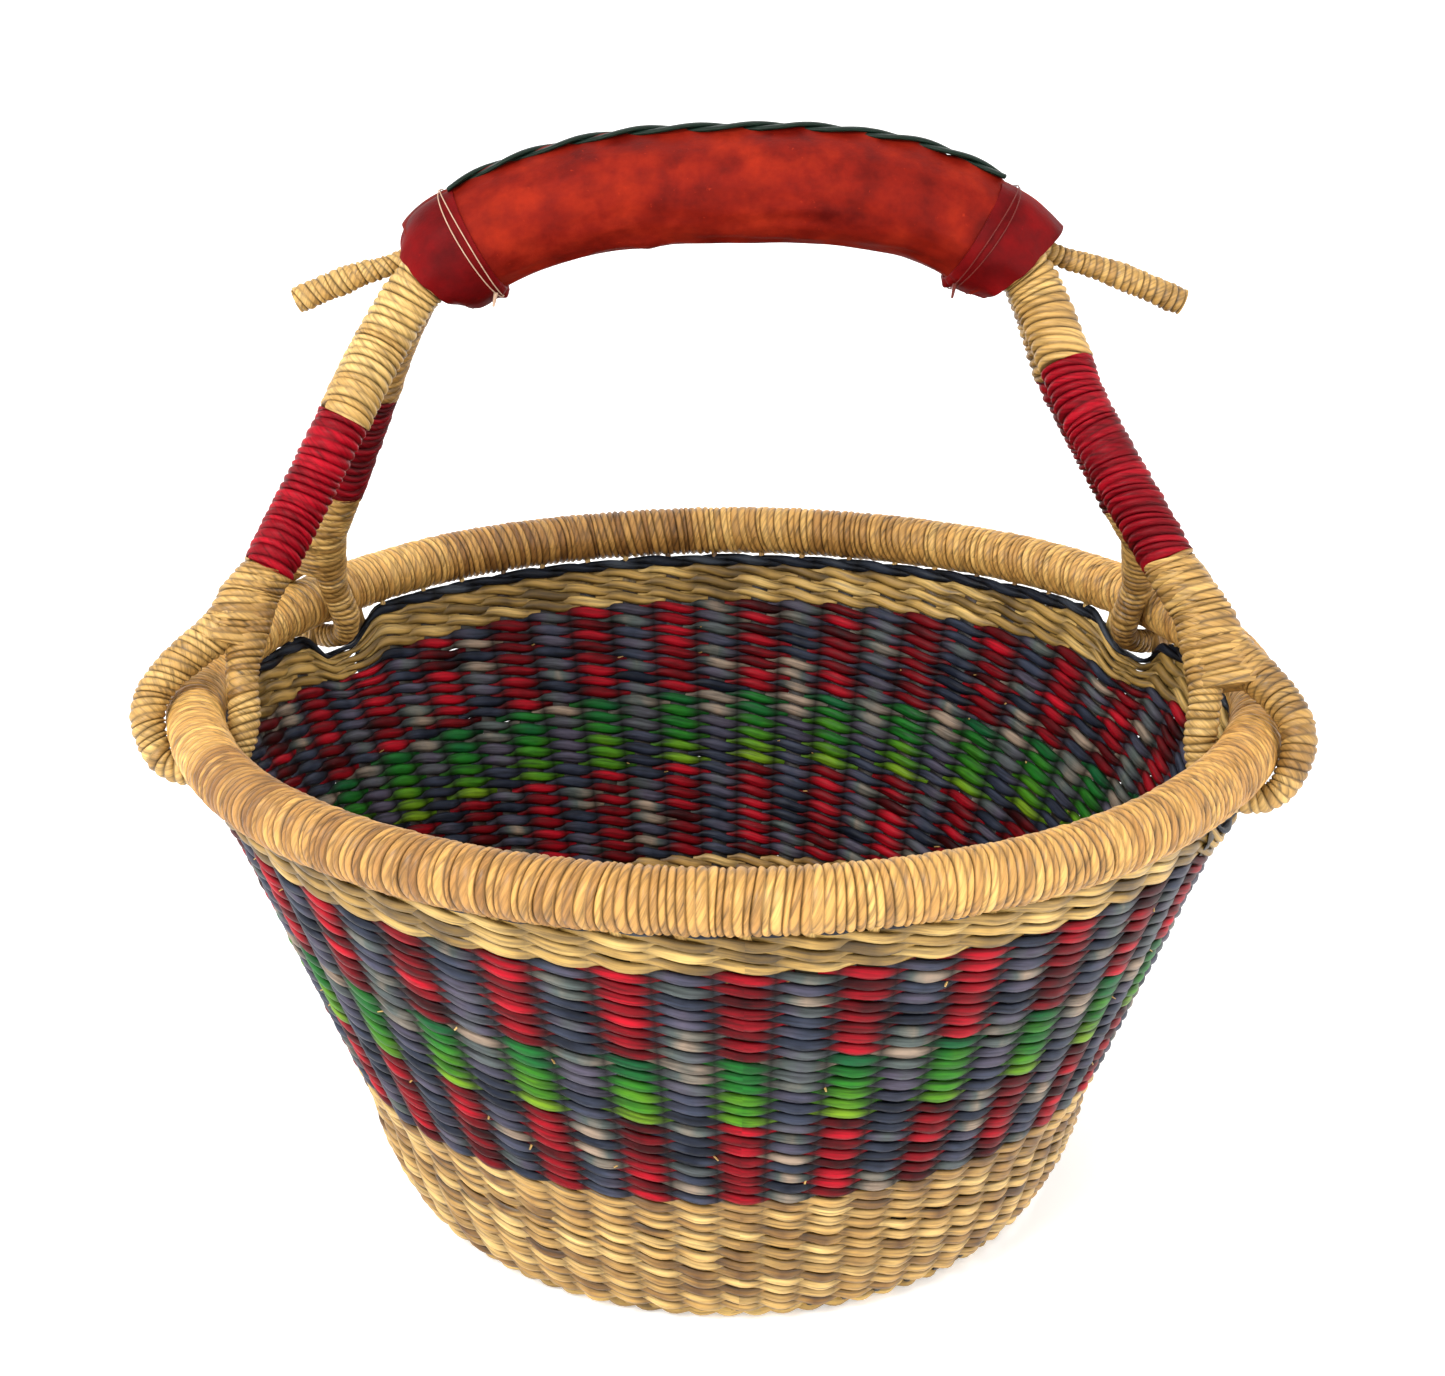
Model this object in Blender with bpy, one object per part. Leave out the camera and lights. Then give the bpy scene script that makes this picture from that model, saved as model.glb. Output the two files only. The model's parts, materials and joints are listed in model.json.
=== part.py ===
"""Round woven market basket with a leather-covered double-bow handle.

Metres, +Z up.  The basket stands on z = 0 with its axis on the world Z axis and
its front towards -Y.  Azimuths are in degrees, from the front towards +X.
The handle is built upright round its own pivot, then leans back on its stop.
"""
import math

import bmesh
import bpy
from mathutils import Matrix, Vector

# ---- Driving dimensions -------------------------------------------------------
RIM_RADIUS = 0.190            # centreline of the rim hoop
RIM_TUBE = 0.0099             # radius of the wrapped rim
RIM_HEIGHT = 0.1885           # height of the rim's centreline
RIM_SQUEEZE = 0.021           # share by which the handle pulls the rim in along X
WALL_FOOT_RADIUS = 0.1188     # outside of the straight wall, carried down to z = 0
WALL_SLOPE = 0.3917           # outward lean of the wall per metre of height
WALL_BELLY = 0.0032           # how far the wall swells out near its foot
WALL_BELLY_TO = 0.045         # height up to which it swells
WALL_THICKNESS = 0.007
STAKES = 60                   # upright straws that the strands are twined round
STAKE_OFFSET = 1.4            # azimuth of the first stake
GAP = 0.0003                  # clearance between pieces that touch

# Heights where the woven bands meet
WALL_BOTTOM = 0.0062
LOWER_RED_FROM = 0.0588
GREEN_FROM = 0.0955
UPPER_RED_FROM = 0.124
UPPER_NATURAL_FROM = 0.1605
LOCKING_FROM = 0.1715
LOCKING_TO = 0.1757

# Round the handle loops the top of the weave is pressed down
NOTCH_WALL_TOP = 0.1622
NOTCH_LOCKING_TOP = 0.1640
NOTCH_HALF_FLAT = 2.3         # degrees
NOTCH_HALF_WIDTH = 5.0        # degrees

BASE_THICKNESS = 0.005
FOOT_RING_RADIUS = 0.1145
FOOT_RING_WIDE = 0.0034       # half width of the braid's section
FOOT_RING_TALL = 0.0029       # half height of the braid's section

# Rim
RIM_CORE = 0.0050
RIM_WRAP_INNER = 0.0074
RIM_SLIT_MIDDLE = 30.0        # degrees inward from straight down
RIM_SLIT_HALF = 20.0
STAKE_WIDTH = 0.0026
STAKE_REACH = 0.0136          # from the rim's centreline down to the foot of a stake's tip

# Handle
PIVOT = Vector((0.0, 0.0185, RIM_HEIGHT))
REST_LEAN = 1.5               # degrees that the handle leans back at rest
LOOP_LEAN = 27.0              # slant of a loop along the rim
LOOP_DEPTH = 0.017            # from the rim's centre down to where a loop passes the wall
LOOP_BOTTOM = {"front": 0.0190, "back": 0.0166}    # from the rim's centre down to a loop's bottom
# The handle is bent a little out of true: (height, shift in x) of its left and right legs, and
# (x, lift) along its top
LEFT_BEND = [(0.225, 0.0), (0.300, -0.0036), (0.330, -0.0030), (0.358, 0.0)]
RIGHT_BEND = [(0.225, 0.0), (0.290, -0.0036), (0.325, 0.0)]
TOP_BEND = [(-0.110, 0.0008), (-0.060, -0.0014), (0.0, 0.0), (0.050, 0.0008), (0.095, 0.0037)]
LOOP_TUBE = 0.0054
LOOP_TUBE_UNDER = 0.0042
LEG_RADIUS = 0.0090
LEG_FOOT_RADIUS = 0.0083
BOW_CORE = 0.0058
WRAP_BORE = BOW_CORE + 2 * GAP
GRIP_Y = 0.0225               # middle of the grip with the handle upright
BOW_HALF_SPACING = 0.0093     # each bow's distance from the grip's middle
BOW_LEVEL_TO = 0.090          # x up to which the bows run level in y
BOW_SPREAD = 4.5              # how fast they part beyond it, per metre
LEATHER_RADIUS = 0.0187
LEATHER_WALL = 0.0014
COLLAR_GAP = 0.0005
LEATHER_STEPS = 2             # spline steps per span, the same for all the leather
COLLAR_MOUTH = 0.0160         # inner radius of the collar where the legs leave it
ROD_RADIUS = 0.0022
ROD_RISE = 0.0105             # the stiffening rod lies this far above the bows
HORN_TIP = 0.0048
HORN_NECK = 0.0034
ROD_STEPS_IN_HORN = 5         # how many spline points of the horn the rod reaches
THREAD_RADIUS = 0.0006
LACING_RADIUS = 0.0013

# Half of the grip's centreline, in the plane y = GRIP_Y: (x, z)
ARCH = [(0.0, 0.3585), (0.030, 0.3578), (0.056, 0.3535),
        (0.078, 0.3447), (0.095, 0.3330), (0.1085, 0.3185)]
COLLAR_START = 0.084          # x where the leather collar begins
GRIP_END = 0.094              # x where the leather tube ends
COLLAR_END = 0.1015           # x where the leather collar ends
WRAP_START = 0.1045           # x where the straw wrap of a leg begins
THREAD_AT = 0.0885            # x of the thread tied round the collar
LACING_END = 0.080            # x where the lacing stops

# The horn's centreline from the end of the collar on, as shares of its length: (outward, up)
HORN = [(0.06, -0.05), (0.38, -0.13), (0.70, -0.25), (1.0, -0.38)]
HORN_LENGTH = {-1: 0.037, 1: 0.049}

# name: (azimuth of the loop on the rim, red wrap from, red wrap to)
LEGS = {
    "front_left": (-76.0, 0.2345, 0.283),
    "front_right": (66.8, 0.2410, 0.299),
    "back_left": (-118.6, 0.2440, 0.284),
    "back_right": (115.0, 0.2400, 0.290),
}

STRAW = (0.58, 0.36, 0.14)
STRAW_OLIVE = (0.48, 0.34, 0.13)
RED = (0.40, 0.008, 0.025)
GREEN = (0.06, 0.26, 0.015)
NAVY = (0.022, 0.032, 0.060)
LEATHER = (0.37, 0.030, 0.012)
LEATHER_DARK = (0.20, 0.008, 0.010)
LACE = (0.012, 0.030, 0.022)
THREAD = (0.45, 0.30, 0.18)


# ---- Building blocks ----------------------------------------------------------
def material(name, colour, roughness):
    """A plain Principled material."""
    made = bpy.data.materials.new(name)
    made.use_nodes = True
    shader = made.node_tree.nodes["Principled BSDF"]
    shader.inputs["Base Color"].default_value = (*colour, 1.0)
    shader.inputs["Roughness"].default_value = roughness
    shader.inputs["Metallic"].default_value = 0.0
    return made


def between(value, table):
    """Read a value off a table of (place, amount), level beyond its ends."""
    if value <= table[0][0]:
        return table[0][1]
    for (start, low), (end, high) in zip(table, table[1:]):
        if value <= end:
            return low + (high - low) * (value - start) / (end - start)
    return table[-1][1]


def bend(bm):
    """Give the handle its slight bends above the loops."""
    for vert in bm.verts:
        x, _, z = vert.co
        right = min(1.0, max(0.0, 0.5 + x / 0.08))
        shift = between(z, LEFT_BEND) * (1.0 - right) + between(z, RIGHT_BEND) * right
        top = min(1.0, max(0.0, (z - 0.285) / 0.030))
        vert.co.x += shift
        vert.co.z += between(x, TOP_BEND) * top


def add_object(name, bm, made, parent=None):
    """Turn a bmesh into a shaded object; with a parent it is part of the handle."""
    if parent is not None:
        bend(bm)
    bmesh.ops.recalc_face_normals(bm, faces=bm.faces)
    mesh = bpy.data.meshes.new(name)
    bm.to_mesh(mesh)
    bm.free()
    mesh.shade_smooth()
    mesh.set_sharp_from_angle(angle=math.radians(40.0))
    mesh.materials.append(made)
    obj = bpy.data.objects.new(name, mesh)
    bpy.context.collection.objects.link(obj)
    if parent is not None:
        obj.parent = parent
        mesh.transform(Matrix.Translation(-PIVOT))
    return obj


def loft(bm, sections, closed):
    """Skin a run of equal rings of points; cap both ends unless it closes on itself."""
    rings = [[bm.verts.new(point) for point in section] for section in sections]
    count = len(rings[0])
    pairs = list(zip(rings, rings[1:]))
    if closed:
        pairs.append((rings[-1], rings[0]))
    for ring, following in pairs:
        for i in range(count):
            j = (i + 1) % count
            bm.faces.new((ring[i], ring[j], following[j], following[i]))
    if not closed:
        bm.faces.new(rings[0])
        bm.faces.new(rings[-1])
    return rings


def on_circle(radius, height, azimuth):
    """A point at a radius, height and azimuth, on rings that the handle pulls oval at the top."""
    angle = math.radians(azimuth)
    squeeze = 1.0 - RIM_SQUEEZE * (height / RIM_HEIGHT) ** 6
    return Vector((radius * math.sin(angle) * squeeze, -radius * math.cos(angle), height))


def turned(bm, profile, azimuths):
    """Sweep profile(azimuth) = [(radius, height), ...] round the basket's axis."""
    sections = [[on_circle(r, z, a) for r, z in profile(a)] for a in azimuths]
    return loft(bm, sections, True)


def frames(points, closed=False):
    """Tangent, side and up at each point of a path, carried along without twist."""
    count = len(points)
    tangents = []
    for i in range(count):
        before = points[i - 1] if closed or i > 0 else points[i]
        after = points[(i + 1) % count] if closed or i < count - 1 else points[i]
        tangents.append((after - before).normalized())
    side = tangents[0].orthogonal().normalized()
    result = []
    for tangent in tangents:
        side = (side - tangent * side.dot(tangent)).normalized()
        result.append((tangent, side, tangent.cross(side)))
    return result


def circle_at(centre, frame, radius, sides):
    """A ring of points square to a path."""
    _, side, up = frame
    angles = [2 * math.pi * i / sides for i in range(sides)]
    return [centre + side * (radius * math.cos(a)) + up * (radius * math.sin(a)) for a in angles]


def rod(points, radii, sides, closed=False):
    """A solid round bar along a path, with its own radius at each point."""
    bm = bmesh.new()
    path = frames(points, closed)
    sections = [circle_at(p, f, r, sides) for p, f, r in zip(points, path, radii)]
    loft(bm, sections, closed)
    return bm


def sleeve(points, outer, inner, sides):
    """A hollow tube along a path, open at both ends."""
    bm = bmesh.new()
    path = frames(points)
    skin = [circle_at(p, f, r, sides) for p, f, r in zip(points, path, outer)]
    bore = [circle_at(p, f, r, sides) for p, f, r in zip(points, path, inner)]
    loft(bm, skin + bore[::-1], True)
    return bm


def spline(points, steps):
    """A smooth curve through its points (Catmull-Rom), with steps per span."""
    ends = [points[0] * 2 - points[1]] + points + [points[-1] * 2 - points[-2]]
    result = []
    for a, b, c, d in zip(ends, ends[1:], ends[2:], ends[3:]):
        for i in range(steps):
            t = i / steps
            result.append(0.5 * (2 * b + (c - a) * t + (2 * a - 5 * b + 4 * c - d) * t ** 2
                                 + (3 * b - a - 3 * c + d) * t ** 3))
    return result + [points[-1]]


def cut_path(points, keep):
    """The stretch of a path where keep(point) rises above 0, ends cut exactly there."""
    result = []
    for start, end in zip(points, points[1:]):
        low, high = keep(start), keep(end)
        if low > 0:
            result.append(start)
        if (low > 0) != (high > 0):
            result.append(start.lerp(end, low / (low - high)))
    if keep(points[-1]) > 0:
        result.append(points[-1])
    return result


# ---- The woven basket ---------------------------------------------------------
def wall_outer(z):
    """Radius of the wall's outside at a height."""
    belly = WALL_BELLY * math.sin(math.pi * z / WALL_BELLY_TO) if z < WALL_BELLY_TO else 0.0
    return WALL_FOOT_RADIUS + WALL_SLOPE * z + belly


def even_azimuths():
    """One edge at each stake."""
    return [STAKE_OFFSET + i * 360.0 / STAKES for i in range(STAKES)]


def loop_notches():
    """Azimuths midway between two stakes where the loops pass through the wall."""
    pitch = 360.0 / STAKES
    first = STAKE_OFFSET + pitch / 2
    drift = math.degrees(math.sin(math.radians(LOOP_LEAN)) * LOOP_DEPTH / RIM_RADIUS)
    notches = []
    for name, (azimuth, _, _) in LEGS.items():
        towards = 1.0 if name in ("front_left", "back_right") else -1.0
        step = round((azimuth + towards * drift - first) / pitch)
        notches.append(first + step * pitch)
    return notches


NOTCHES = loop_notches()


def notch_depth(azimuth):
    """1 at the middle of a notch, 0 away from the loops, with a smooth slope between."""
    distance = min(abs((azimuth - n + 180) % 360 - 180) for n in NOTCHES)
    if distance <= NOTCH_HALF_FLAT:
        return 1.0
    if distance >= NOTCH_HALF_WIDTH:
        return 0.0
    t = (distance - NOTCH_HALF_FLAT) / (NOTCH_HALF_WIDTH - NOTCH_HALF_FLAT)
    return 0.5 * (1 + math.cos(math.pi * t))


def notched_azimuths():
    """Even edges, with more where the notches slope."""
    extra = [-NOTCH_HALF_WIDTH, -3.65, -NOTCH_HALF_FLAT, NOTCH_HALF_FLAT, 3.65, NOTCH_HALF_WIDTH]
    near = [n + e for n in NOTCHES for e in extra]
    away = [a for a in even_azimuths() if notch_depth(a) == 0.0]
    return sorted((a - STAKE_OFFSET) % 360 + STAKE_OFFSET for a in near + away)


def wall_section(low, high, between=()):
    """The section of a band of weave between two heights, with any heights between them."""
    heights = [low, *between, high]
    outside = [(wall_outer(z), z) for z in heights]
    inside = [(wall_outer(z) - WALL_THICKNESS, z) for z in reversed(heights)]
    return outside + inside


def band(name, low, high, made, between=()):
    """One coloured band of the wall, a plain ring."""
    bm = bmesh.new()
    turned(bm, lambda azimuth: wall_section(low + GAP, high, between), even_azimuths())
    add_object(name, bm, made)


def upper_wall(made):
    """The natural band under the rim, pressed down where the loops pass."""
    bm = bmesh.new()

    def profile(azimuth):
        top = LOCKING_FROM + (NOTCH_WALL_TOP - LOCKING_FROM) * notch_depth(azimuth)
        return wall_section(UPPER_NATURAL_FROM + GAP, top)

    turned(bm, profile, notched_azimuths())
    add_object("natural_band_upper", bm, made)


def locking_course(made):
    """The dark strand that locks the top of the weave."""
    bm = bmesh.new()

    def profile(azimuth):
        depth = notch_depth(azimuth)
        low = LOCKING_FROM + (NOTCH_WALL_TOP - LOCKING_FROM) * depth + GAP
        top = LOCKING_TO + (NOTCH_LOCKING_TOP - LOCKING_TO) * depth
        return wall_section(low, top)

    turned(bm, profile, notched_azimuths())
    add_object("locking_strand", bm, made)


def base_disc(made):
    """The flat woven bottom, a little domed inside its edge."""
    bm = bmesh.new()
    radius = FOOT_RING_RADIUS - FOOT_RING_WIDE - GAP
    edge = [on_circle(radius, 0.0, a) for a in even_azimuths()]
    rim = [on_circle(radius, BASE_THICKNESS * 0.8, a) for a in even_azimuths()]
    top = [on_circle(radius * 0.93, BASE_THICKNESS, a) for a in even_azimuths()]
    loft(bm, [edge, rim, top], False)
    add_object("base_disc", bm, made)


def foot_braid(made):
    """The braided ring round the bottom edge that the basket stands on."""
    bm = bmesh.new()
    bevel = 0.45
    corners = [(1, -bevel), (1, bevel), (bevel, 1), (-1, 1), (-1, -1), (bevel, -1)]
    section = [(FOOT_RING_RADIUS + FOOT_RING_WIDE * u, FOOT_RING_TALL * (1 + v)) for u, v in corners]
    turned(bm, lambda azimuth: section, even_azimuths())
    add_object("foot_braid", bm, made)


# ---- The rim ------------------------------------------------------------------
def rim_point(radius, inward):
    """A point of the rim's section: inward is degrees from straight down to the inside."""
    angle = math.radians(inward)
    return RIM_RADIUS - radius * math.sin(angle), RIM_HEIGHT - radius * math.cos(angle)


def rim_core(made):
    """The hoop of straw that stiffens the rim."""
    bm = bmesh.new()
    section = [rim_point(RIM_CORE, 72.0 * i) for i in range(5)]
    turned(bm, lambda azimuth: section, even_azimuths())
    add_object("rim_core", bm, made)


def rim_wrap(made):
    """The wrapping round the hoop, open below where the stakes enter."""
    bm = bmesh.new()
    first = RIM_SLIT_MIDDLE + RIM_SLIT_HALF
    sweep = 360.0 - 2 * RIM_SLIT_HALF
    outer = [rim_point(RIM_TUBE, first + sweep * i / 9) for i in range(10)]
    inner = [rim_point(RIM_WRAP_INNER, first + sweep * i / 5) for i in range(6)]
    turned(bm, lambda azimuth: outer + inner[::-1], even_azimuths())
    add_object("rim_wrap", bm, made)


def stake_tips(made):
    """The ends of the stakes, bent over into one hoop under the rim's core."""
    bm = bmesh.new()
    half = math.degrees(STAKE_WIDTH / RIM_RADIUS) / 2
    azimuths = []
    for azimuth in even_azimuths():
        azimuths += [azimuth - half, azimuth + half]
    near, far, spread = RIM_CORE + 0.0004, RIM_WRAP_INNER - GAP, 12.0
    section = [rim_point(near, RIM_SLIT_MIDDLE - spread), rim_point(near, RIM_SLIT_MIDDLE + spread),
               rim_point(far, RIM_SLIT_MIDDLE + spread), rim_point(far, RIM_SLIT_MIDDLE - spread)]
    rings = turned(bm, lambda azimuth: section, azimuths)
    pairs = zip(rings[::2], rings[1::2])
    under = [bm.faces.get((ring[2], ring[3], after[3], after[2])) for ring, after in pairs]
    reach = STAKE_REACH - far
    lean = math.radians(RIM_SLIT_MIDDLE)
    tips = bmesh.ops.extrude_discrete_faces(bm, faces=under)["faces"]
    for face in tips:
        middle = face.calc_center_median()
        inward = Vector((-middle.x, -middle.y, 0.0)).normalized()
        step = (inward * math.sin(lean) + Vector((0, 0, -math.cos(lean)))) * reach
        bmesh.ops.translate(bm, verts=face.verts, vec=step)
    add_object("stake_tips", bm, made)


# ---- The handle ---------------------------------------------------------------
def bow_y(name, x):
    """y of a leg's bow: level in the grip, spreading past its ends."""
    away = BOW_HALF_SPACING + BOW_SPREAD * max(0.0, x - BOW_LEVEL_TO) ** 2
    return GRIP_Y + (-away if name.startswith("front") else away)


def side_of(name):
    return -1.0 if name.endswith("left") else 1.0


def loop_frame(name):
    """Centre on the rim, outward direction and up-the-loop direction."""
    azimuth = LEGS[name][0]
    centre = on_circle(RIM_RADIUS, RIM_HEIGHT, azimuth)
    ahead = on_circle(RIM_RADIUS, RIM_HEIGHT, azimuth + 1)
    behind = on_circle(RIM_RADIUS, RIM_HEIGHT, azimuth - 1)
    along = (ahead - behind).normalized()
    outward = along.cross(Vector((0, 0, 1)))
    if (along.y > 0) != name.startswith("front"):
        along = -along
    lean = math.radians(LOOP_LEAN)
    return centre, outward, Vector((0, 0, math.cos(lean))) + along * math.sin(lean)


def loop_points(name):
    """The bundle below a leg, in the loop's own plane: (outward, up, radius).

    It runs from the leg down inside the rim, under it and up outside, to its end beside the leg.
    """
    low = LOOP_BOTTOM[name.split("_")[0]]
    return [
        (-0.0235, 0.0425, LEG_FOOT_RADIUS),
        (-0.0184, 0.0260, 0.0062),
        (-0.0162, 0.0120, LOOP_TUBE),
        (-0.0159, -0.0010, LOOP_TUBE),
        (-0.0115, 0.0050 - low, LOOP_TUBE_UNDER),
        (0.0, -low, LOOP_TUBE_UNDER),
        (0.0115, 0.0050 - low, LOOP_TUBE_UNDER),
        (0.0159, -0.0010, LOOP_TUBE),
        (0.0143, 0.0090, LOOP_TUBE),
        (0.0080, 0.0185, LOOP_TUBE),
        (-0.0016, 0.0276, 0.0048),
        (-0.0085, 0.0338, 0.0034),
    ]


def in_loop(name, point):
    centre, outward, up = loop_frame(name)
    return centre + outward * point[0] + up * point[1]


def leg_path(name):
    """A leg's centreline, from its loop's apex up to the middle of the grip."""
    side = side_of(name)
    arch = [Vector((side * x, bow_y(name, x), z)) for x, z in ARCH]
    foot = in_loop(name, loop_points(name)[0])
    shoulder = arch[-1]
    knee = foot.lerp(shoulder, 0.45)
    return spline([foot, knee] + arch[::-1], 3)


def arch_path(y, rise=0.0, end=COLLAR_END, steps=3):
    """The grip's centreline at depth y, raised square to itself, from end to end."""
    right = [Vector((x, y, z)) for x, z in ARCH]
    left = [Vector((-p.x, p.y, p.z)) for p in right[:0:-1]]
    path = cut_path(spline(left + right, steps), lambda p: end - abs(p.x))
    return [p + Vector((0, -1, 0)).cross(t) * rise for p, (t, _, _) in zip(path, frames(path))]


def leg_wraps(name, straw, red, parent):
    """The straw sleeves of one leg: natural at the top, red below it."""
    _, red_from, red_to = LEGS[name]
    path = leg_path(name)
    top = cut_path(path, lambda p: min(p.z - red_to - GAP, abs(p.x) - WRAP_START))
    middle = cut_path(path, lambda p: min(p.z - red_from, red_to - p.z))
    for label, points, made in (("natural_wrap", top, straw), ("red_wrap", middle, red)):
        bm = sleeve(points, [LEG_RADIUS] * len(points), [WRAP_BORE] * len(points), 10)
        add_object(f"{name}_{label}", bm, made, parent)


def loop_wrap(name, straw, parent):
    """The foot of one leg, which goes round the rim as a loop and ends beside the leg."""
    _, red_from, _ = LEGS[name]
    leg = cut_path(leg_path(name), lambda p: red_from - GAP - p.z)[:0:-1]
    widths = [LEG_RADIUS + (LEG_FOOT_RADIUS - LEG_RADIUS) * i / len(leg) for i in range(len(leg))]
    loop = spline([Vector(point) for point in loop_points(name)], 2)
    points = leg + [in_loop(name, p) for p in loop]
    radii = widths + [p.z for p in loop]
    add_object(f"{name}_loop_wrap", rod(points, radii, 10), straw, parent)


def bow_core(which, straw, parent):
    """The bundle of straws bent over from the left leg to the right leg."""
    left = leg_path(f"{which}_left")
    right = leg_path(f"{which}_right")
    path = left + right[-2::-1]
    level = {-1.0: LEGS[f"{which}_left"][1], 1.0: LEGS[f"{which}_right"][1]}
    kept = cut_path(path, lambda p: p.z - level[math.copysign(1.0, p.x)] - GAP)
    add_object(f"{which}_bow_core", rod(kept, [BOW_CORE] * len(kept), 6), straw, parent)


def horn_path(side):
    """Where the stiffening rod leaves the leather, out to its tip."""
    inside = arch_path(GRIP_Y, ROD_RISE)
    start = inside[0] if side < 0 else inside[-1]
    length = HORN_LENGTH[side]
    return [start] + [start + Vector((side * x, 0, z)) * length for x, z in HORN]


def grip_rod(straw, parent):
    """The rod along the top of the bows that ends in a horn on each side."""
    inside = arch_path(GRIP_Y, ROD_RISE)
    left = spline(horn_path(-1)[1:], 3)[:ROD_STEPS_IN_HORN]
    right = spline(horn_path(1)[1:], 3)[:ROD_STEPS_IN_HORN]
    path = left[::-1] + inside + right
    add_object("grip_rod", rod(path, [ROD_RADIUS] * len(path), 6), straw, parent)


def horn_wrap(label, side, straw, parent):
    """The wrapping on one end of the rod, closed over its tip."""
    points = horn_path(side)
    path = spline(points[1:], 3)
    track = frames(path)
    widths = [HORN_NECK + (HORN_TIP - HORN_NECK) * i / (len(path) - 1) for i in range(len(path))]
    skin = [circle_at(p, f, w, 10) for p, f, w in zip(path, track, widths)]
    tip_frame = track[-1]
    skin.append(circle_at(path[-1] + tip_frame[0] * 0.002, tip_frame, HORN_TIP * 0.6, 10))
    blind = ROD_STEPS_IN_HORN + 1
    bore = [circle_at(p, f, ROD_RADIUS + 2 * GAP, 10) for p, f in list(zip(path, track))[:blind]]
    bm = bmesh.new()
    loft(bm, bore[::-1] + skin, False)
    add_object(f"horn_wrap_{label}", bm, straw, parent)


def leather_grip(made, parent):
    """The leather tube sewn round both bows and the rod."""
    path = arch_path(GRIP_Y, 0.0, GRIP_END, LEATHER_STEPS)
    outer = [LEATHER_RADIUS] * len(path)
    inner = [LEATHER_RADIUS - LEATHER_WALL] * len(path)
    add_object("leather_grip", sleeve(path, outer, inner, 16), made, parent)


def leather_collar(label, side, made, parent):
    """The leather cuff that closes one end of the grip."""
    path = cut_path(arch_path(GRIP_Y, steps=LEATHER_STEPS), lambda p: side * p.x - COLLAR_START)
    full = LEATHER_RADIUS + COLLAR_GAP
    taper_from = ARCH[-2][0]
    shares = [max(0.0, abs(p.x) - taper_from) / (COLLAR_END - taper_from) for p in path]
    bore = [full - (full - COLLAR_MOUTH) * share for share in shares]
    outer = [r + LEATHER_WALL for r in bore]
    add_object(f"leather_collar_{label}", sleeve(path, outer, bore, 16), made, parent)


def tie_thread(label, x, made, parent):
    """The thread tied round a collar."""
    whole = arch_path(GRIP_Y, 0.0, COLLAR_END, 8)
    index = min(range(len(whole)), key=lambda i: abs(whole[i].x - x))
    radius = LEATHER_RADIUS + COLLAR_GAP + LEATHER_WALL + GAP + THREAD_RADIUS
    ring = circle_at(whole[index], frames(whole)[index], radius, 24)
    add_object(f"tie_thread_{label}", rod(ring, [THREAD_RADIUS] * len(ring), 4, closed=True), made, parent)


def grip_lacing(made, parent):
    """The dark cord that laces the leather's edges along the top."""
    rise = LEATHER_RADIUS + GAP + LACING_RADIUS
    path = arch_path(GRIP_Y, rise, LACING_END, 3)
    add_object("grip_lacing", rod(path, [LACING_RADIUS] * len(path), 6), made, parent)


# ---- Assembly -----------------------------------------------------------------
def build():
    for old in list(bpy.data.objects):
        bpy.data.objects.remove(old, do_unlink=True)

    straw = material("natural_straw", STRAW, 0.6)
    olive = material("olive_straw", STRAW_OLIVE, 0.62)
    red = material("red_straw", RED, 0.55)
    green = material("green_straw", GREEN, 0.55)
    navy = material("navy_straw", NAVY, 0.55)
    leather = material("leather", LEATHER, 0.6)
    collar = material("collar_leather", LEATHER_DARK, 0.6)
    lace = material("lacing", LACE, 0.5)
    thread = material("thread", THREAD, 0.7)

    base_disc(straw)
    foot_braid(olive)
    band("natural_band_lower", WALL_BOTTOM, LOWER_RED_FROM, straw, (0.0160, 0.0340))
    band("red_band_lower", LOWER_RED_FROM, GREEN_FROM, red)
    band("green_band", GREEN_FROM, UPPER_RED_FROM, green)
    band("red_band_upper", UPPER_RED_FROM, UPPER_NATURAL_FROM, red)
    upper_wall(olive)
    locking_course(navy)
    stake_tips(straw)
    rim_core(straw)
    rim_wrap(straw)

    handle = bpy.data.objects.new("handle_pivot", None)
    bpy.context.collection.objects.link(handle)
    handle.location = PIVOT
    handle.rotation_euler = (-math.radians(REST_LEAN), 0.0, 0.0)
    for which in ("front", "back"):
        bow_core(which, straw, handle)
    for name in LEGS:
        leg_wraps(name, straw, red, handle)
        loop_wrap(name, straw, handle)
    grip_rod(straw, handle)
    leather_grip(leather, handle)
    for label, side in (("left", -1), ("right", 1)):
        horn_wrap(label, side, straw, handle)
        leather_collar(label, side, collar, handle)
        tie_thread(label, side * THREAD_AT, thread, handle)
    grip_lacing(lace, handle)


build()
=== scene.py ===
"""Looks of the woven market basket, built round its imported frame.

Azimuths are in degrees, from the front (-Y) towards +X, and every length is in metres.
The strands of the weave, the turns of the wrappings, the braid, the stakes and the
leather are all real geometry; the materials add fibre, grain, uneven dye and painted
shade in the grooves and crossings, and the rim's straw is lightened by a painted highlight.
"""
import json
import math
import random

import bpy
import bmesh
import numpy as np
from mathutils import Matrix, Vector, noise


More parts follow.
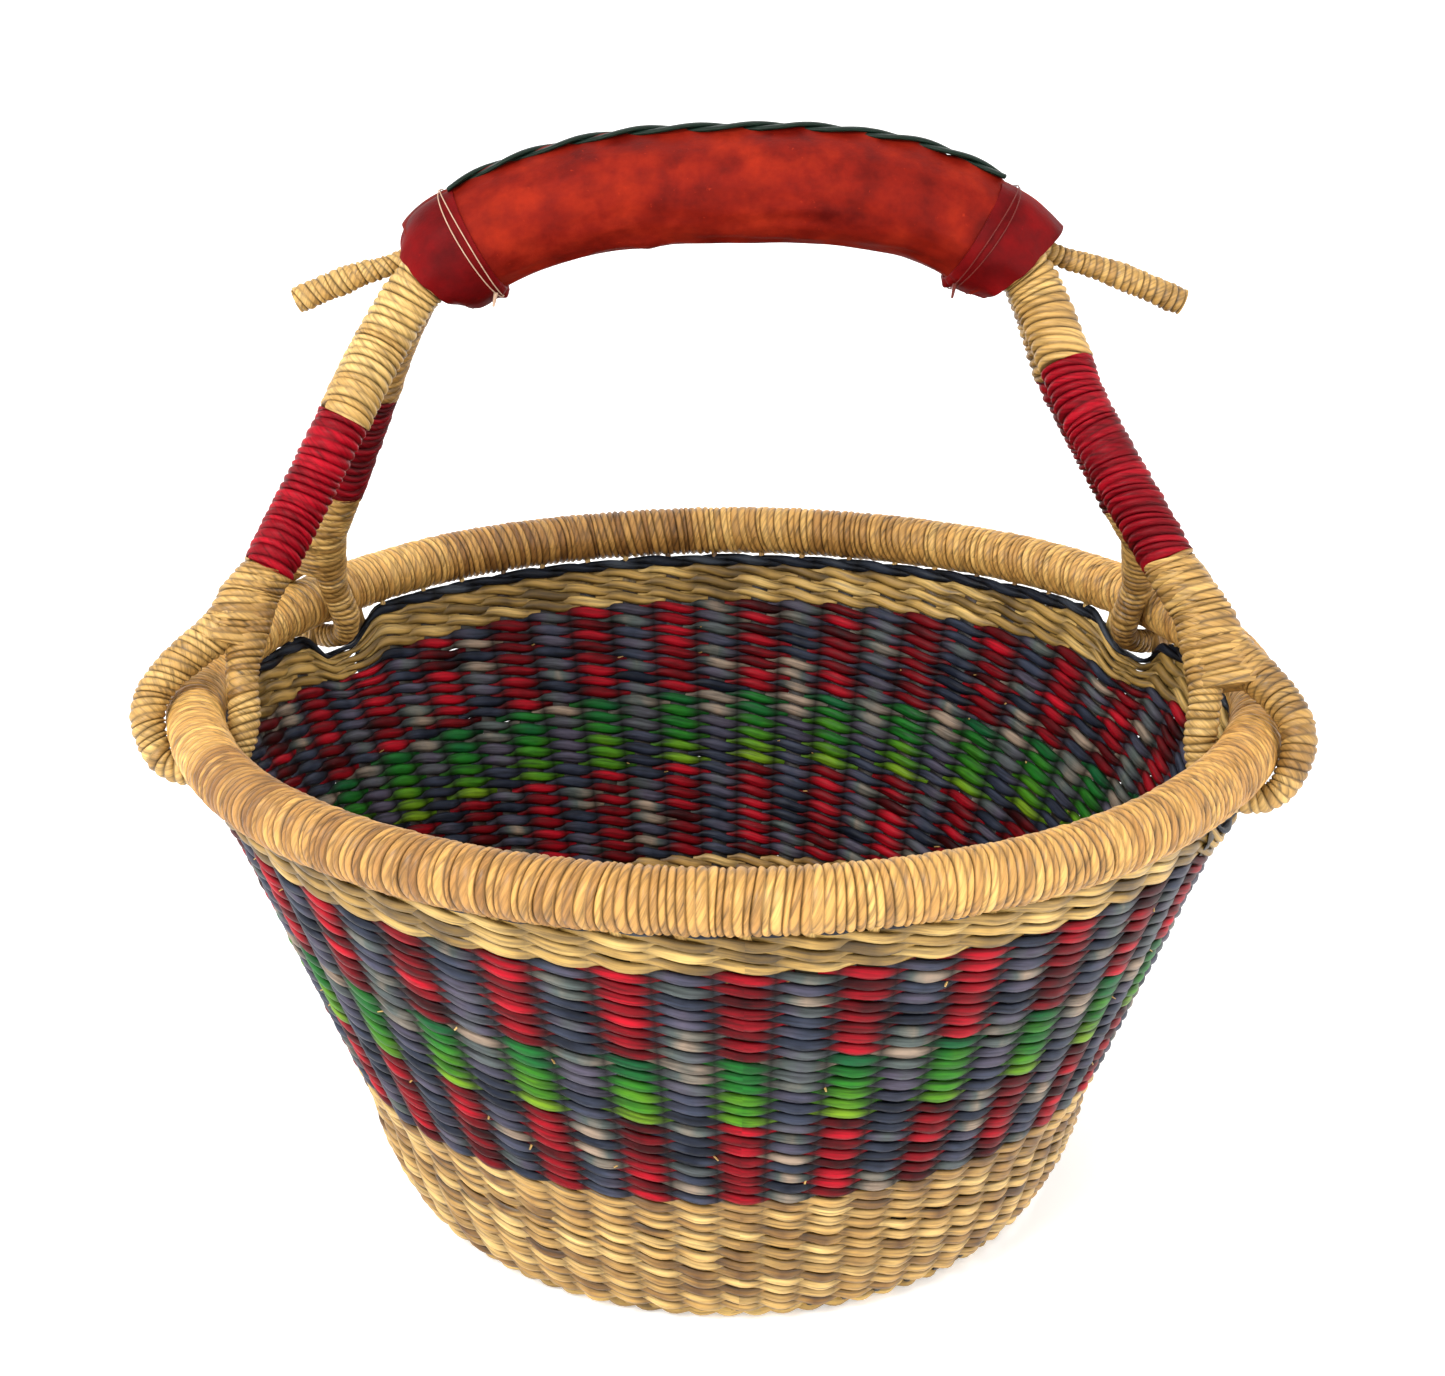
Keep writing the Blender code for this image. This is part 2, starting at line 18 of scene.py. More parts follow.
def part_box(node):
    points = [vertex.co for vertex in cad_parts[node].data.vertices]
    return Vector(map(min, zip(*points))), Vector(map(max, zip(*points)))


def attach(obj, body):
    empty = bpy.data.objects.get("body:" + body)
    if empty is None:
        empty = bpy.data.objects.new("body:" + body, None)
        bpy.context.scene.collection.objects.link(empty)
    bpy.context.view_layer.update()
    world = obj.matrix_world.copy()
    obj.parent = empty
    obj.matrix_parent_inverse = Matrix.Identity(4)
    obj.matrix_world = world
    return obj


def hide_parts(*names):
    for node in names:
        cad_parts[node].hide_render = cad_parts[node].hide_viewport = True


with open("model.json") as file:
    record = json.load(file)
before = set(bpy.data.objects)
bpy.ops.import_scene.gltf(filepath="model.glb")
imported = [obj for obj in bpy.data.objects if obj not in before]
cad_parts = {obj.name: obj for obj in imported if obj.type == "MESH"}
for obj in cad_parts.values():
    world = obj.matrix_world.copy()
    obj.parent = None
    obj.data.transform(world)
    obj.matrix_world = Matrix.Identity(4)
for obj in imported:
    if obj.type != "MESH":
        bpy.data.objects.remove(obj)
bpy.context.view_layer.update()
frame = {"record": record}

# ---- Dimensions shared with the CAD -------------------------------------------
STAKES = 60
PITCH = 360.0 / STAKES          # degrees between stakes
STAKE_OFFSET = 1.4
RIM_RADIUS = 0.190
RIM_TUBE = 0.0099
RIM_HEIGHT = 0.1885
RIM_SQUEEZE = 0.021
WALL_THICKNESS = 0.007
WALL_FOOT_RADIUS = 0.1188       # of the outside, without its belly
WALL_SLOPE = 0.3917             # outward per height
WALL_BELLY = 0.0032
WALL_BELLY_TO = 0.045
NOTCHES = (-73.6, 64.4, -121.6, 118.4)      # azimuths, each half way between two stakes
FOOT_RING_RADIUS = 0.1145
PIVOT = Vector(frame["record"]["behaviour"]["joints"][0]["pos_m"])
REST_LEAN = math.radians(1.5)
LOOP_LEAN = math.radians(27.0)
LOOP_BOTTOM = {"front": 0.0190, "back": 0.0166}
# The bent handle: (height, shift in x) of its left and right legs, (x, lift) along its top
LEFT_BEND = [(0.225, 0.0), (0.300, -0.0036), (0.330, -0.0030), (0.358, 0.0)]
RIGHT_BEND = [(0.225, 0.0), (0.290, -0.0036), (0.325, 0.0)]
TOP_BEND = [(-0.110, 0.0008), (-0.060, -0.0014), (0.0, 0.0), (0.050, 0.0008), (0.095, 0.0037)]
LEG_RADIUS = 0.0090
GRIP_Y = 0.0225
BOW_HALF_SPACING = 0.0093
BOW_LEVEL_TO = 0.090
BOW_SPREAD = 4.5
LEATHER_RADIUS = 0.0187
ARCH = [(0.0, 0.3585), (0.030, 0.3578), (0.056, 0.3535),
        (0.078, 0.3447), (0.095, 0.3330), (0.1085, 0.3185)]
COLLAR_START = 0.084
COLLAR_END = 0.1015
THREAD_AT = 0.0885
ROD_RISE = 0.0105
LEGS = {
    "front_left": (-76.0, 0.2345, 0.283),
    "front_right": (66.8, 0.2410, 0.299),
    "back_left": (-118.6, 0.2440, 0.284),
    "back_right": (115.0, 0.2400, 0.290),
}

# ---- Detail sizes -------------------------------------------------------------
WEAVE_TOP = 0.1745              # top of the last natural row
ROW_PITCH = 0.0045
STITCH_STEPS = 8                # samples of a strand per stake
STRAND_SIDES = 10
STRAND_HALF = 0.00135           # half thickness of a strand, square to the wall
TWIST_OUT = 0.0014              # how far a strand swings out and in round the stakes
TWIST_UP = 0.0014               # how far it swings up and down at the crossings
STAKE_HALF = 0.0036             # half width of a stake inside the weave
STAKE_NEAR = 4.0                # degrees from a notch within which a stake is pushed
STAKE_ASIDE = 1.6               # degrees that a loop pushes such a stake away
TURN_STEPS = 6                  # samples along the path per turn of a wrapping
TURN_SIDES = 24
NOTCH_HALF_FLAT = 1.6           # degrees; the notches are softer than the CAD's
NOTCH_HALF_WIDTH = 8.0          # degrees
NOTCH_DROP = 0.0106
PRESSED_FROM = 0.135            # height where the rows start to close up
PRESSED_SPAN = 0.0407           # from there to the top of the wall
BASE_MIDDLE = 0.00295           # height of the middle of the woven bottom
WRAP_START = 0.0940             # x where the legs' natural turns start, inside the collars
LACING_END = 0.0845
LACING_STITCH = 0.0195          # length of one crossing of the thongs
HORN = [(0.0, 0.0), (0.20, -0.08), (0.38, -0.13), (0.70, -0.25), (1.0, -0.38)]
HORN_LENGTH = {"left": 0.038, "right": 0.050}


# ---- Small helpers ------------------------------------------------------------
def between(values, table):
    """Look values up in a table of pairs."""
    return np.interp(values, *np.array(table).T)


def at_rest(points):
    """Give points of the straight, upright handle its bends and lean them to its rest pose."""
    x, z = points[:, 0], points[:, 2]
    # 0 on the left legs, 1 on the right ones
    right = np.clip(0.5 + x / 0.08, 0.0, 1.0)
    shift = between(z, LEFT_BEND) * (1.0 - right) + between(z, RIGHT_BEND) * right
    lift = between(x + shift, TOP_BEND) * np.clip((z - 0.285) / 0.030, 0.0, 1.0)
    bent = points + np.stack([shift, 0.0 * x, lift], -1)
    turn = np.array(Matrix.Rotation(-REST_LEAN, 3, "X"))
    pivot = np.array(PIVOT)
    return (bent - pivot) @ turn.T + pivot


def on_circle(radius, height, azimuth):
    """Points at radii, heights and azimuths, on rings that the handle pulls oval at the top."""
    angle = np.radians(azimuth)
    squeeze = 1.0 - RIM_SQUEEZE * (height / RIM_HEIGHT) ** 6
    parts = (radius * np.sin(angle) * squeeze, -radius * np.cos(angle), height + 0.0 * angle)
    return np.stack(np.broadcast_arrays(*parts), -1)


def wall_outer(z):
    """Radius of the wall's outside at a height."""
    belly = np.where(z < WALL_BELLY_TO, WALL_BELLY * np.sin(math.pi * z / WALL_BELLY_TO), 0.0)
    return WALL_FOOT_RADIUS + WALL_SLOPE * z + belly


def notch_depth(azimuth):
    """1 at the middle of a notch, 0 away from the loops."""
    gaps = [np.abs((azimuth - n + 180.0) % 360.0 - 180.0) for n in NOTCHES]
    t = (np.minimum.reduce(gaps) - NOTCH_HALF_FLAT) / (NOTCH_HALF_WIDTH - NOTCH_HALF_FLAT)
    return 0.5 * (1.0 + np.cos(math.pi * np.clip(t, 0.0, 1.0)))


def pressed(z, azimuth):
    """Height after the loops press the top of the weave down, and how much rows close up."""
    t = np.clip((z - PRESSED_FROM) / PRESSED_SPAN, 0.0, 1.2)
    drop = NOTCH_DROP * notch_depth(azimuth)
    return z - drop * t ** 2, 1.0 - 2.0 * drop * t / PRESSED_SPAN


class Piece:
    """Gathers grids of faces into one mesh.

    Each grid carries UVs in metres, along and across its straw, and two numbers per
    point: tone, the dye or age of that straw, and rise, from 0 in a groove to 1 on top,
    which the straw materials turn into painted shade in the grooves.
    """

    def __init__(self):
        self.points, self.tones, self.rises = [], [], []
        self.loops, self.sizes, self.uvs = [], [], []
        self.count = 0

    def add_faces(self, index, uv):
        self.loops.append(index.reshape(-1))
        self.sizes.append(np.full(len(index), index.shape[1]))
        self.uvs.append(uv.reshape(-1, 2))

    def add_points(self, points, tone, rise):
        shape = points.shape[:-1]
        self.points.append(points.reshape(-1, 3))
        self.tones.append(np.broadcast_to(tone, shape).reshape(-1))
        self.rises.append(np.broadcast_to(rise, shape).reshape(-1))
        first = self.count
        self.count += len(self.points[-1])
        return first

    def grid(self, points, along, across, tone, rise, ring=False, caps=True):
        """Rings of points along a strand; ring closes it end to end, otherwise caps close it."""
        n, m = points.shape[:2]
        first = self.add_points(points, tone, rise)
        i, j = np.meshgrid(np.arange(n if ring else n - 1), np.arange(m), indexing="ij")
        after, beside = (i + 1) % n, (j + 1) % m
        quads = np.stack([i * m + j, after * m + j, after * m + beside, i * m + beside], -1)
        along = np.append(along, 2 * along[-1] - along[-2])
        u = np.stack([along[i], along[i + 1], along[i + 1], along[i]], -1)
        v = np.stack([across[j], across[j], across[j + 1], across[j + 1]], -1)
        self.add_faces(first + quads.reshape(-1, 4), np.stack([u, v], -1))
        if not ring and caps:
            for row in (np.arange(m)[::-1], (n - 1) * m + np.arange(m)):
                self.add_faces(first + row[None, :], np.zeros((1, m, 2)))

    def helix(self, points, shift, keep, along, across, tone, rise, ring):
        """A wrapping: the last point of a row joins the first point of the row shift further on."""
        n, m = points.shape[:2]
        first = self.add_points(points, tone, rise)
        i, j = np.meshgrid(np.arange(n if ring else n - 1), np.arange(m), indexing="ij")
        hop = np.where(j == m - 1, shift, 0)
        beside = (j + 1) % m
        corner = [i, i + 1, i + 1 + hop, i + hop]
        column = [j, j, beside, beside]
        if ring:
            rows = [c % n for c in corner]
            kept = np.ones(i.shape, bool)
        else:
            inside = np.maximum.reduce(corner) < n
            rows = [np.minimum(c, n - 1) for c in corner]
            sides = [keep[r, c] for r, c in zip(rows, column)]
            low = np.logical_and.reduce([k < 0 for k in sides])
            high = np.logical_and.reduce([k > 0 for k in sides])
            kept = inside & ~low & ~high
        quads = np.stack([r * m + c for r, c in zip(rows, column)], -1)[kept]
        u = np.stack([along[j], along[j], along[j + 1], along[j + 1]], -1)[kept]
        v = np.stack([across[r, c] for r, c in zip(rows, column)], -1)[kept]
        self.add_faces(first + quads, np.stack([u, v], -1))

    def finish(self, name, material, slot, body, nodes, weld=False):
        """Make the object, put it on its body and let it stand for its CAD nodes."""
        mesh = bpy.data.meshes.new(name)
        points, loops, sizes = (np.concatenate(x) for x in (self.points, self.loops, self.sizes))
        mesh.vertices.add(len(points))
        mesh.vertices.foreach_set("co", points.astype(np.float32).reshape(-1))
        mesh.loops.add(len(loops))
        mesh.loops.foreach_set("vertex_index", loops.astype(np.int32))
        mesh.polygons.add(len(sizes))
        starts = np.concatenate([[0], np.cumsum(sizes)[:-1]])
        mesh.polygons.foreach_set("loop_start", starts.astype(np.int32))
        layer = mesh.uv_layers.new(name="straw")
        layer.data.foreach_set("uv", np.concatenate(self.uvs).astype(np.float32).reshape(-1))
        for label, values in (("tone", self.tones), ("rise", self.rises)):
            store = mesh.attributes.new(label, "FLOAT", "POINT")
            store.data.foreach_set("value", np.concatenate(values).astype(np.float32))
        mesh.update(calc_edges=True)
        mesh.validate()
        bm = bmesh.new()
        bm.from_mesh(mesh)
        if weld:
            bmesh.ops.remove_doubles(bm, verts=bm.verts, dist=2e-6)
            bmesh.ops.dissolve_degenerate(bm, edges=bm.edges, dist=1e-6)
            bmesh.ops.holes_fill(bm, edges=[e for e in bm.edges if e.is_boundary], sides=0)
            bmesh.ops.delete(bm, geom=[v for v in bm.verts if not v.link_faces], context="VERTS")
        bmesh.ops.recalc_face_normals(bm, faces=bm.faces)
        bm.to_mesh(mesh)
        bm.free()
        mesh.shade_smooth()
        mesh.set_sharp_from_angle(angle=math.radians(70.0))
        mesh.materials.append(material)
        obj = bpy.data.objects.new(name, mesh)
        bpy.context.collection.objects.link(obj)
        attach(obj, body)
        if nodes:
            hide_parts(*nodes)
        return obj


# ---- Paths --------------------------------------------------------------------
def spline(points, steps):
    """A smooth curve through its points (Catmull-Rom); points may hold more than 3 numbers."""
    p = np.array(points, float)
    p = np.vstack([2 * p[0] - p[1], p, 2 * p[-1] - p[-2]])
    t = (np.arange(steps) / steps)[:, None, None]
    a, b, c, d = p[:-3], p[1:-2], p[2:-1], p[3:]
    curve = 0.5 * (2 * b + (c - a) * t + (2 * a - 5 * b + 4 * c - d) * t ** 2
                   + (3 * b - a - 3 * c + d) * t ** 3)
    return np.vstack([np.swapaxes(curve, 0, 1).reshape(-1, p.shape[1]), p[-2]])


class Track:
    """A path with its length, and two directions square to it, looked up by distance."""

    def __init__(self, points, front=None, ring=False):
        if ring:
            points = np.vstack([points, points[:1]])
        self.points = points
        steps = np.linalg.norm(np.diff(points, axis=0), axis=1)
        self.distance = np.concatenate([[0.0], np.cumsum(steps)])
        self.length = self.distance[-1]
        tangent = np.gradient(points, self.distance, axis=0)
        if ring:
            tangent[0] = tangent[-1] = tangent[0] + tangent[-1]
        tangent /= np.linalg.norm(tangent, axis=1)[:, None]
        if front is None:
            side = np.empty_like(tangent)
            now = np.cross(tangent[0], [0.3, 0.2, 0.9])
            for i, t in enumerate(tangent):
                now = now - t * now.dot(t)
                now /= np.linalg.norm(now)
                side[i] = now
        else:
            side = front - tangent * (tangent @ front)[:, None]
            side /= np.linalg.norm(side, axis=1)[:, None]
        self.tangent, self.side, self.up = tangent, side, np.cross(side, tangent)

    def look(self, table, s):
        return np.stack([np.interp(s, self.distance, table[:, k]) for k in range(3)], -1)

    def around(self, s, radius, angle):
        """Points at distance s, a radius and an angle from the path (0 is up, 90 degrees is side)."""
        up, side = self.look(self.up, s), self.look(self.side, s)
        spoke = up * np.cos(angle)[..., None] + side * np.sin(angle)[..., None]
        return self.look(self.points, s) + spoke * np.asarray(radius)[..., None]

    def section(self, s, up_by, side_by):
        """Rings of points off the path, one ring for each distance s."""
        centre, up, side = (self.look(table, s)[:, None] for table in (self.points, self.up, self.side))
        return centre + up * up_by[..., None] + side * side_by[..., None]


def wrap(piece, track, radius, seed, turn=0.0027, starts=2, depth=0.0009, sides=TURN_SIDES,
         ring=False, joins=(14, 26), base=(0.35, 0.75), tilt=0.0, oval=None):
    """Wind straw round a track in single turns.

    radius is a number or a table of (distance, radius). oval is a table of (distance, half
    width) for turns that are wider along the track's up direction. tilt slants the turns.
    """
    dice = random.Random(seed)
    turns = starts * max(2, round(track.length / turn / starts))
    turn = track.length / turns
    extra = 0 if ring else starts
    count = TURN_STEPS * (turns + 2 * extra) + (0 if ring else 2)
    k, j = np.meshgrid(np.arange(count), np.arange(sides), indexing="ij")
    spot = k / TURN_STEPS + starts * j / sides
    phase = k % TURN_STEPS
    lap = k // TURN_STEPS + starts * j / sides
    lane = (k // TURN_STEPS) % starts
    tables = np.random.default_rng(seed).random((starts, 4, turns + 3 * starts + 4))
    if ring:
        tables[:, :, turns:] = tables[:, :, :tables.shape[2] - turns]
    laps = np.arange(tables.shape[2])
    straw, swell, gap = (np.choose(lane, [np.interp(lap, laps, tables[n, q]) for n in range(starts)])
                         for q in (0, 1, 3))
    angle = 2 * math.pi * j / sides
    place = (spot - extra + 0.60 * (np.interp(spot, laps, tables[0, 2]) - 0.5)) * turn
    sway = 1.0 + 0.7 * np.sin(2 * math.pi * spot * max(1, turns // 23) / turns)
    place = place + tilt * sway * 0.01 * np.sin(angle + 0.9)
    bounds, levels = [0.0], []
    while bounds[-1] < track.length:
        bounds.append(bounds[-1] + turn * dice.uniform(*joins))
        levels.append(dice.uniform(*base))
    if ring:
        place = place % track.length
        keep = None
    else:
        keep = np.where(place <= 0.0, -1, np.where(place >= track.length, 1, 0))
        place = np.clip(place, 0.0, track.length)
    step = np.array(levels)[np.clip(np.searchsorted(bounds, place) - 1, 0, len(levels) - 1)]
    table = np.array([(0.0, radius)] if isinstance(radius, float) else radius)
    body = np.interp(place, table[:, 0], table[:, 1])
    if oval is not None:
        wide = np.interp(place, *np.array(oval).T)
        body = 1.0 / np.hypot(np.cos(angle) / wide, np.sin(angle) / body)
    shape = np.array([0.0, 0.55, 0.90, 1.0, 0.90, 0.55])[phase]
    tight = 0.55 * gap ** 2
    lift = (shape + tight * (1.0 - shape)) * (1.0 + 0.5 * (swell - 0.5)) - 1.0
    points = track.around(place, body + depth * lift, angle)
    tone = np.clip(step + 0.5 * (straw - 0.5), 0.0, 1.0)
    along = np.arange(sides + 1) * 2 * math.pi * body.mean() / sides
    # the rise passed here is low in the grooves between turns, where the material paints shade
    piece.helix(points, TURN_STEPS * starts, keep, along, place + lap * 0.013, tone,
                0.16 + 0.84 * (shape + tight * (1.0 - shape)), ring)


def rod(piece, points, radius, sides=8, tone=0.5, rise=1.0, ring=False, flat=1.0, front=None):
    """A plain straw, cord or strap along a path, with a radius or one for each point."""
    track = Track(points, front=front, ring=ring)
    s = track.distance[:-1] if ring else track.distance
    angle = np.broadcast_to(2 * math.pi * np.arange(sides) / sides, (len(s), sides))
    wide = np.broadcast_to(np.reshape(radius, (-1, 1)), (len(s), 1))
    thin = wide * np.reshape(flat, (-1, 1))
    grid = track.section(s, np.cos(angle) * thin, np.sin(angle) * wide)
    across = 2 * math.pi * np.mean(radius) * np.arange(sides + 1) / sides
    piece.grid(grid, s, across, tone, rise, ring=ring)


# ---- The weave ----------------------------------------------------------------
def wall_surface(z, azimuth, out, up):
    """A point of the wall: out is square to it and up is along it, from the row at height z."""
    lean = math.hypot(WALL_SLOPE, 1.0)
    radius = wall_outer(z) - WALL_THICKNESS / 2 + (out + WALL_SLOPE * up) / lean
    height, _ = pressed(z, azimuth)
    height = height + (up - WALL_SLOPE * out) / lean
    return on_circle(radius, height, azimuth)


def base_surface(radius, azimuth, out, up):
    """A point of the woven bottom: out is down, towards the floor, and up is outward."""
    return on_circle(radius + up, BASE_MIDDLE - out, azimuth)


def twined(pieces, surface, level, stitches, offset, seed, tone=(0.5, 0.8), half=ROW_PITCH / 2,
           swing=TWIST_OUT, thick=STRAND_HALF, hop=TWIST_UP, squeeze=None, waist=0.68, lit=0.10):
    """One row of two strands that pass each other between stakes, outside on every other one.

    waist is a strand's height where it crosses the other, as a share of half, and lit is how
    light the painted shade leaves it there, from 0 to 1; each strand's upper and lower edges
    also get painted shade.
    """
    count = stitches * STITCH_STEPS
    step = 360.0 / stitches
    place = np.arange(count) / STITCH_STEPS
    azimuth = offset + place * step
    close = 1.0 if squeeze is None else squeeze(azimuth)
    angle = 2 * math.pi * np.arange(STRAND_SIDES) / STRAND_SIDES
    for which, piece in enumerate(pieces):
        dice = np.random.default_rng(seed * 2 + which)
        wobble = dice.random((4, stitches))
        wobble = np.concatenate([wobble, wobble[:, :1]], 1)
        laps = np.arange(stitches + 1)
        up_by, out_by, fat, dye = (np.interp(place, laps, row) for row in wobble)
        phase = math.pi * (place + which)
        belly = np.cos(phase) ** 2
        tall = half * (waist + (0.96 - waist) * belly) * (0.84 + 0.28 * fat) * close
        out = swing * np.cos(phase) + 0.0006 * (out_by - 0.5) * belly
        up = (-hop * np.sin(phase) + 0.0008 * (up_by - 0.5)) * close
        grid_out = out[:, None] + thick * np.cos(angle)
        grid_up = up[:, None] + tall[:, None] * np.sin(angle)
        points = surface(level, azimuth[:, None], grid_out, grid_up)
        middle = np.linalg.norm(points[0, 0, :2])
        along = 2 * math.pi * middle * place / stitches + seed * 0.37
        across = np.arange(STRAND_SIDES + 1) * 0.0012
        shade = np.clip(tone[0] + tone[1] * (dye[:, None] - 0.5), 0.0, 1.0)
        # painted shade: rise is lowest where the strands cross and along each strand's upper and lower
        # edge, where the rows shade each other
        painted_shade = (lit + (1.0 - lit) * belly[:, None] ** 0.5) * np.abs(np.cos(angle)) ** 0.7
        piece.grid(points, along, across, shade, painted_shade, ring=True)


def weave_band(node, label, looks, tone_of, top=None, hop=TWIST_UP, waist=0.74, lit=0.08):
    """All rows of one band of the wall: strand a outside on even stakes, strand b on odd ones."""
    low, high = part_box(node)
    bottom, top = low.z, top or high.z
    rows = max(1, round((top - bottom) / ROW_PITCH))
    pitch = (top - bottom) / rows
    pieces = [Piece(), Piece()]
    for row in range(rows):
        z = bottom + (row + 0.5) * pitch
        twined(pieces, wall_surface, z, STAKES, STAKE_OFFSET, round(z * 1e5),
               tone=tone_of(row, rows), half=pitch * 0.535, squeeze=lambda a: pressed(z, a)[1],
               hop=hop, waist=waist, lit=lit)
    for piece, which, look in zip(pieces, ("a", "b"), looks):
        piece.finish(f"{label}_strand_{which}", *look, "basket", [node])


def straw_ends(material):
    """Short pale ends of straw that stick out of the coloured bands where strands were joined."""
    piece = Piece()
    dice = random.Random(21)
    for _ in range(90):
        z = dice.uniform(0.062, 0.158)
        azimuth = STAKE_OFFSET + (dice.randrange(STAKES) + 0.5) * PITCH + dice.uniform(-0.6, 0.6)
        way = dice.choice((-1.0, 1.0))
        slope = dice.uniform(-0.0006, 0.0006)
        reach = np.linspace(0.0, 1.0, 4)[:, None]
        path = wall_surface(z, azimuth + dice.uniform(-0.7, 0.7) * reach[:, 0],
                            way * (0.0004 + 0.0021 * reach[:, 0]), slope * reach[:, 0])
        rod(piece, path, 0.00050 - 0.0002 * reach, 6, tone=dice.uniform(0.5, 1.0), flat=0.6)
    piece.finish("straw_ends", material, "natural_straw", "basket", ["red_band_upper", "red_band_lower"])


def locking_strand(material):
    """The thick dark strands that lock the last row."""
    z = WEAVE_TOP + 0.0021

    def inside(level, azimuth, out, up):
        return wall_surface(level, azimuth, out - 0.0008, up)

    piece = Piece()
    twined([piece, piece], inside, z, STAKES, STAKE_OFFSET + 1.5, 77, tone=(0.5, 0.9),
           half=0.0023, swing=0.0015, thick=0.0014, hop=0.0011, squeeze=lambda a: pressed(z, a)[1])
    piece.finish("locking_strands", material, "navy_straw", "basket", ["locking_strand"])


def aside(azimuth):
    """How far a loop pushes the top of a stake beside it away, in degrees."""
    gap = min(((azimuth - n + 180.0) % 360.0 - 180.0 for n in NOTCHES), key=abs)
    return math.copysign(STAKE_ASIDE, gap) if abs(gap) < STAKE_NEAR else 0.0


def stakes(material):
    """The upright straws, flat inside the weave, from the bottom's edge up into the rim."""
    piece = Piece()
    dice = random.Random(5)
    heights = np.concatenate([np.linspace(0.004, 0.045, 6), np.linspace(0.06, 0.1745, 9)])
    for i in range(STAKES):
        azimuth = STAKE_OFFSET + i * PITCH
        z, _ = pressed(heights, azimuth)
        push = aside(azimuth)
        around = azimuth + push * (heights > 0.170)
        wall = on_circle(wall_outer(heights) - WALL_THICKNESS / 2, z, around)
        lean = push or dice.uniform(-0.5, 0.5)
        top = on_circle(np.array([0.1850, 0.1864]), np.array([0.1785, 0.1825]), azimuth + lean)
        inner = on_circle(np.array([0.106]), np.array([0.003]), azimuth)
        path = spline(np.vstack([inner, wall, top]), 2)
        bare = np.clip((path[:, 2] - 0.1720) / 0.003, 0.0, 1.0)
        wide = STAKE_HALF * np.clip((path[:, 2] - 0.002) / 0.010, 0.35, 1.0) * (1.0 - 0.66 * bare)
        angle = math.radians(azimuth)
        # rise is 0 inside the weave, so those stretches of the stakes get painted shade as where the
        # strands shade them; the bare tops keep their own colour
        rod(piece, path, wide, 8, tone=dice.random(), rise=bare[:, None], flat=0.0007 / wide,
            front=np.array([math.cos(angle), math.sin(angle), 0.0]))
    piece.finish("stakes", material, "natural_straw", "basket", ["stake_tips"])


def spokes(material):
    """The straws that run from the middle of the bottom out to the stakes."""
    piece = Piece()
    dice = random.Random(6)
    for i in range(STAKES):
        start = (0.004, 0.040, 0.020, 0.040)[i % 4]
        radii = np.linspace(start, 0.108, 6)
        path = on_circle(radii, np.full(6, BASE_MIDDLE), STAKE_OFFSET + i * PITCH)
        rod(piece, path, 0.0009, 6, tone=dice.random())
    piece.finish("base_spokes", material, "natural_straw", "basket", ["base_disc"])


def woven_base(material):
    """Twined rounds from the middle of the bottom to its edge."""
    pieces = [Piece(), Piece()]
    pitch = 0.0041
    for row in range(26):
        radius = 0.0035 + row * pitch
        stitches = max(4, 2 * round(math.pi * radius / 0.0125))
        twined(pieces, base_surface, radius, stitches, STAKE_OFFSET + 7.3 * row, 900 + row,
               tone=(0.45, 0.8), half=pitch * 0.52, swing=0.0013, thick=0.0010, hop=0.0008)
    for piece, which in zip(pieces, ("a", "b")):
        piece.finish(f"base_strand_{which}", material, "natural_straw", "basket", ["base_disc"])


def foot_braid(material):
    """Three strands braided round the bottom edge."""
    piece = Piece()
    crossings = 26
    count = crossings * 20
    turn = 2 * math.pi * np.arange(count) / count
    for strand in range(3):
        phase = crossings * turn + strand * 2 * math.pi / 3
        dice = np.random.default_rng(40 + strand).random(crossings + 1)
        dice[-1] = dice[0]
        dye = np.interp(np.arange(count) / 20, np.arange(crossings + 1), dice)
        radius = FOOT_RING_RADIUS + 0.0002 + 0.0013 * np.sin(2 * phase)
        height = 0.0031 + 0.0012 * np.sin(phase)
        path = on_circle(radius, height, np.degrees(turn))
        rod(piece, path, 0.0019, 8, tone=dye[:, None], ring=True, flat=0.85,
            front=np.array([0.0, 0.0, 1.0]))
    piece.finish("foot_braid_strands", material, "olive_straw", "basket", ["foot_braid"])


def rim(material):
    """The hoop of the rim in single turns of straw."""
    azimuth = np.linspace(0.0, 360.0, 361)[:-1]
    sway = np.array([noise.noise(Vector((math.cos(a) * 2.0, math.sin(a) * 2.0, 3.0)))
                     for a in np.radians(azimuth)])
    path = on_circle(RIM_RADIUS + 0.0006 * sway, RIM_HEIGHT + 0.0008 * sway[::-1], azimuth)
    track = Track(path, front=np.array([0.0, 0.0, 1.0]), ring=True)
    piece = Piece()
    wrap(piece, track, RIM_TUBE + 0.0002, 11, turn=0.0027, starts=2, depth=0.0010, sides=26,
         ring=True, joins=(16, 55), base=(0.28, 0.74), tilt=0.16)
    piece.finish("rim_turns", material, "natural_straw", "basket", ["rim_wrap", "rim_core"])


# ---- The handle ---------------------------------------------------------------
def bow_y(name, x):
    """y of a leg's bow: level in the grip, spreading past its ends."""
    away = BOW_HALF_SPACING + BOW_SPREAD * max(0.0, x - BOW_LEVEL_TO) ** 2
    return GRIP_Y + (-away if name.startswith("front") else away)


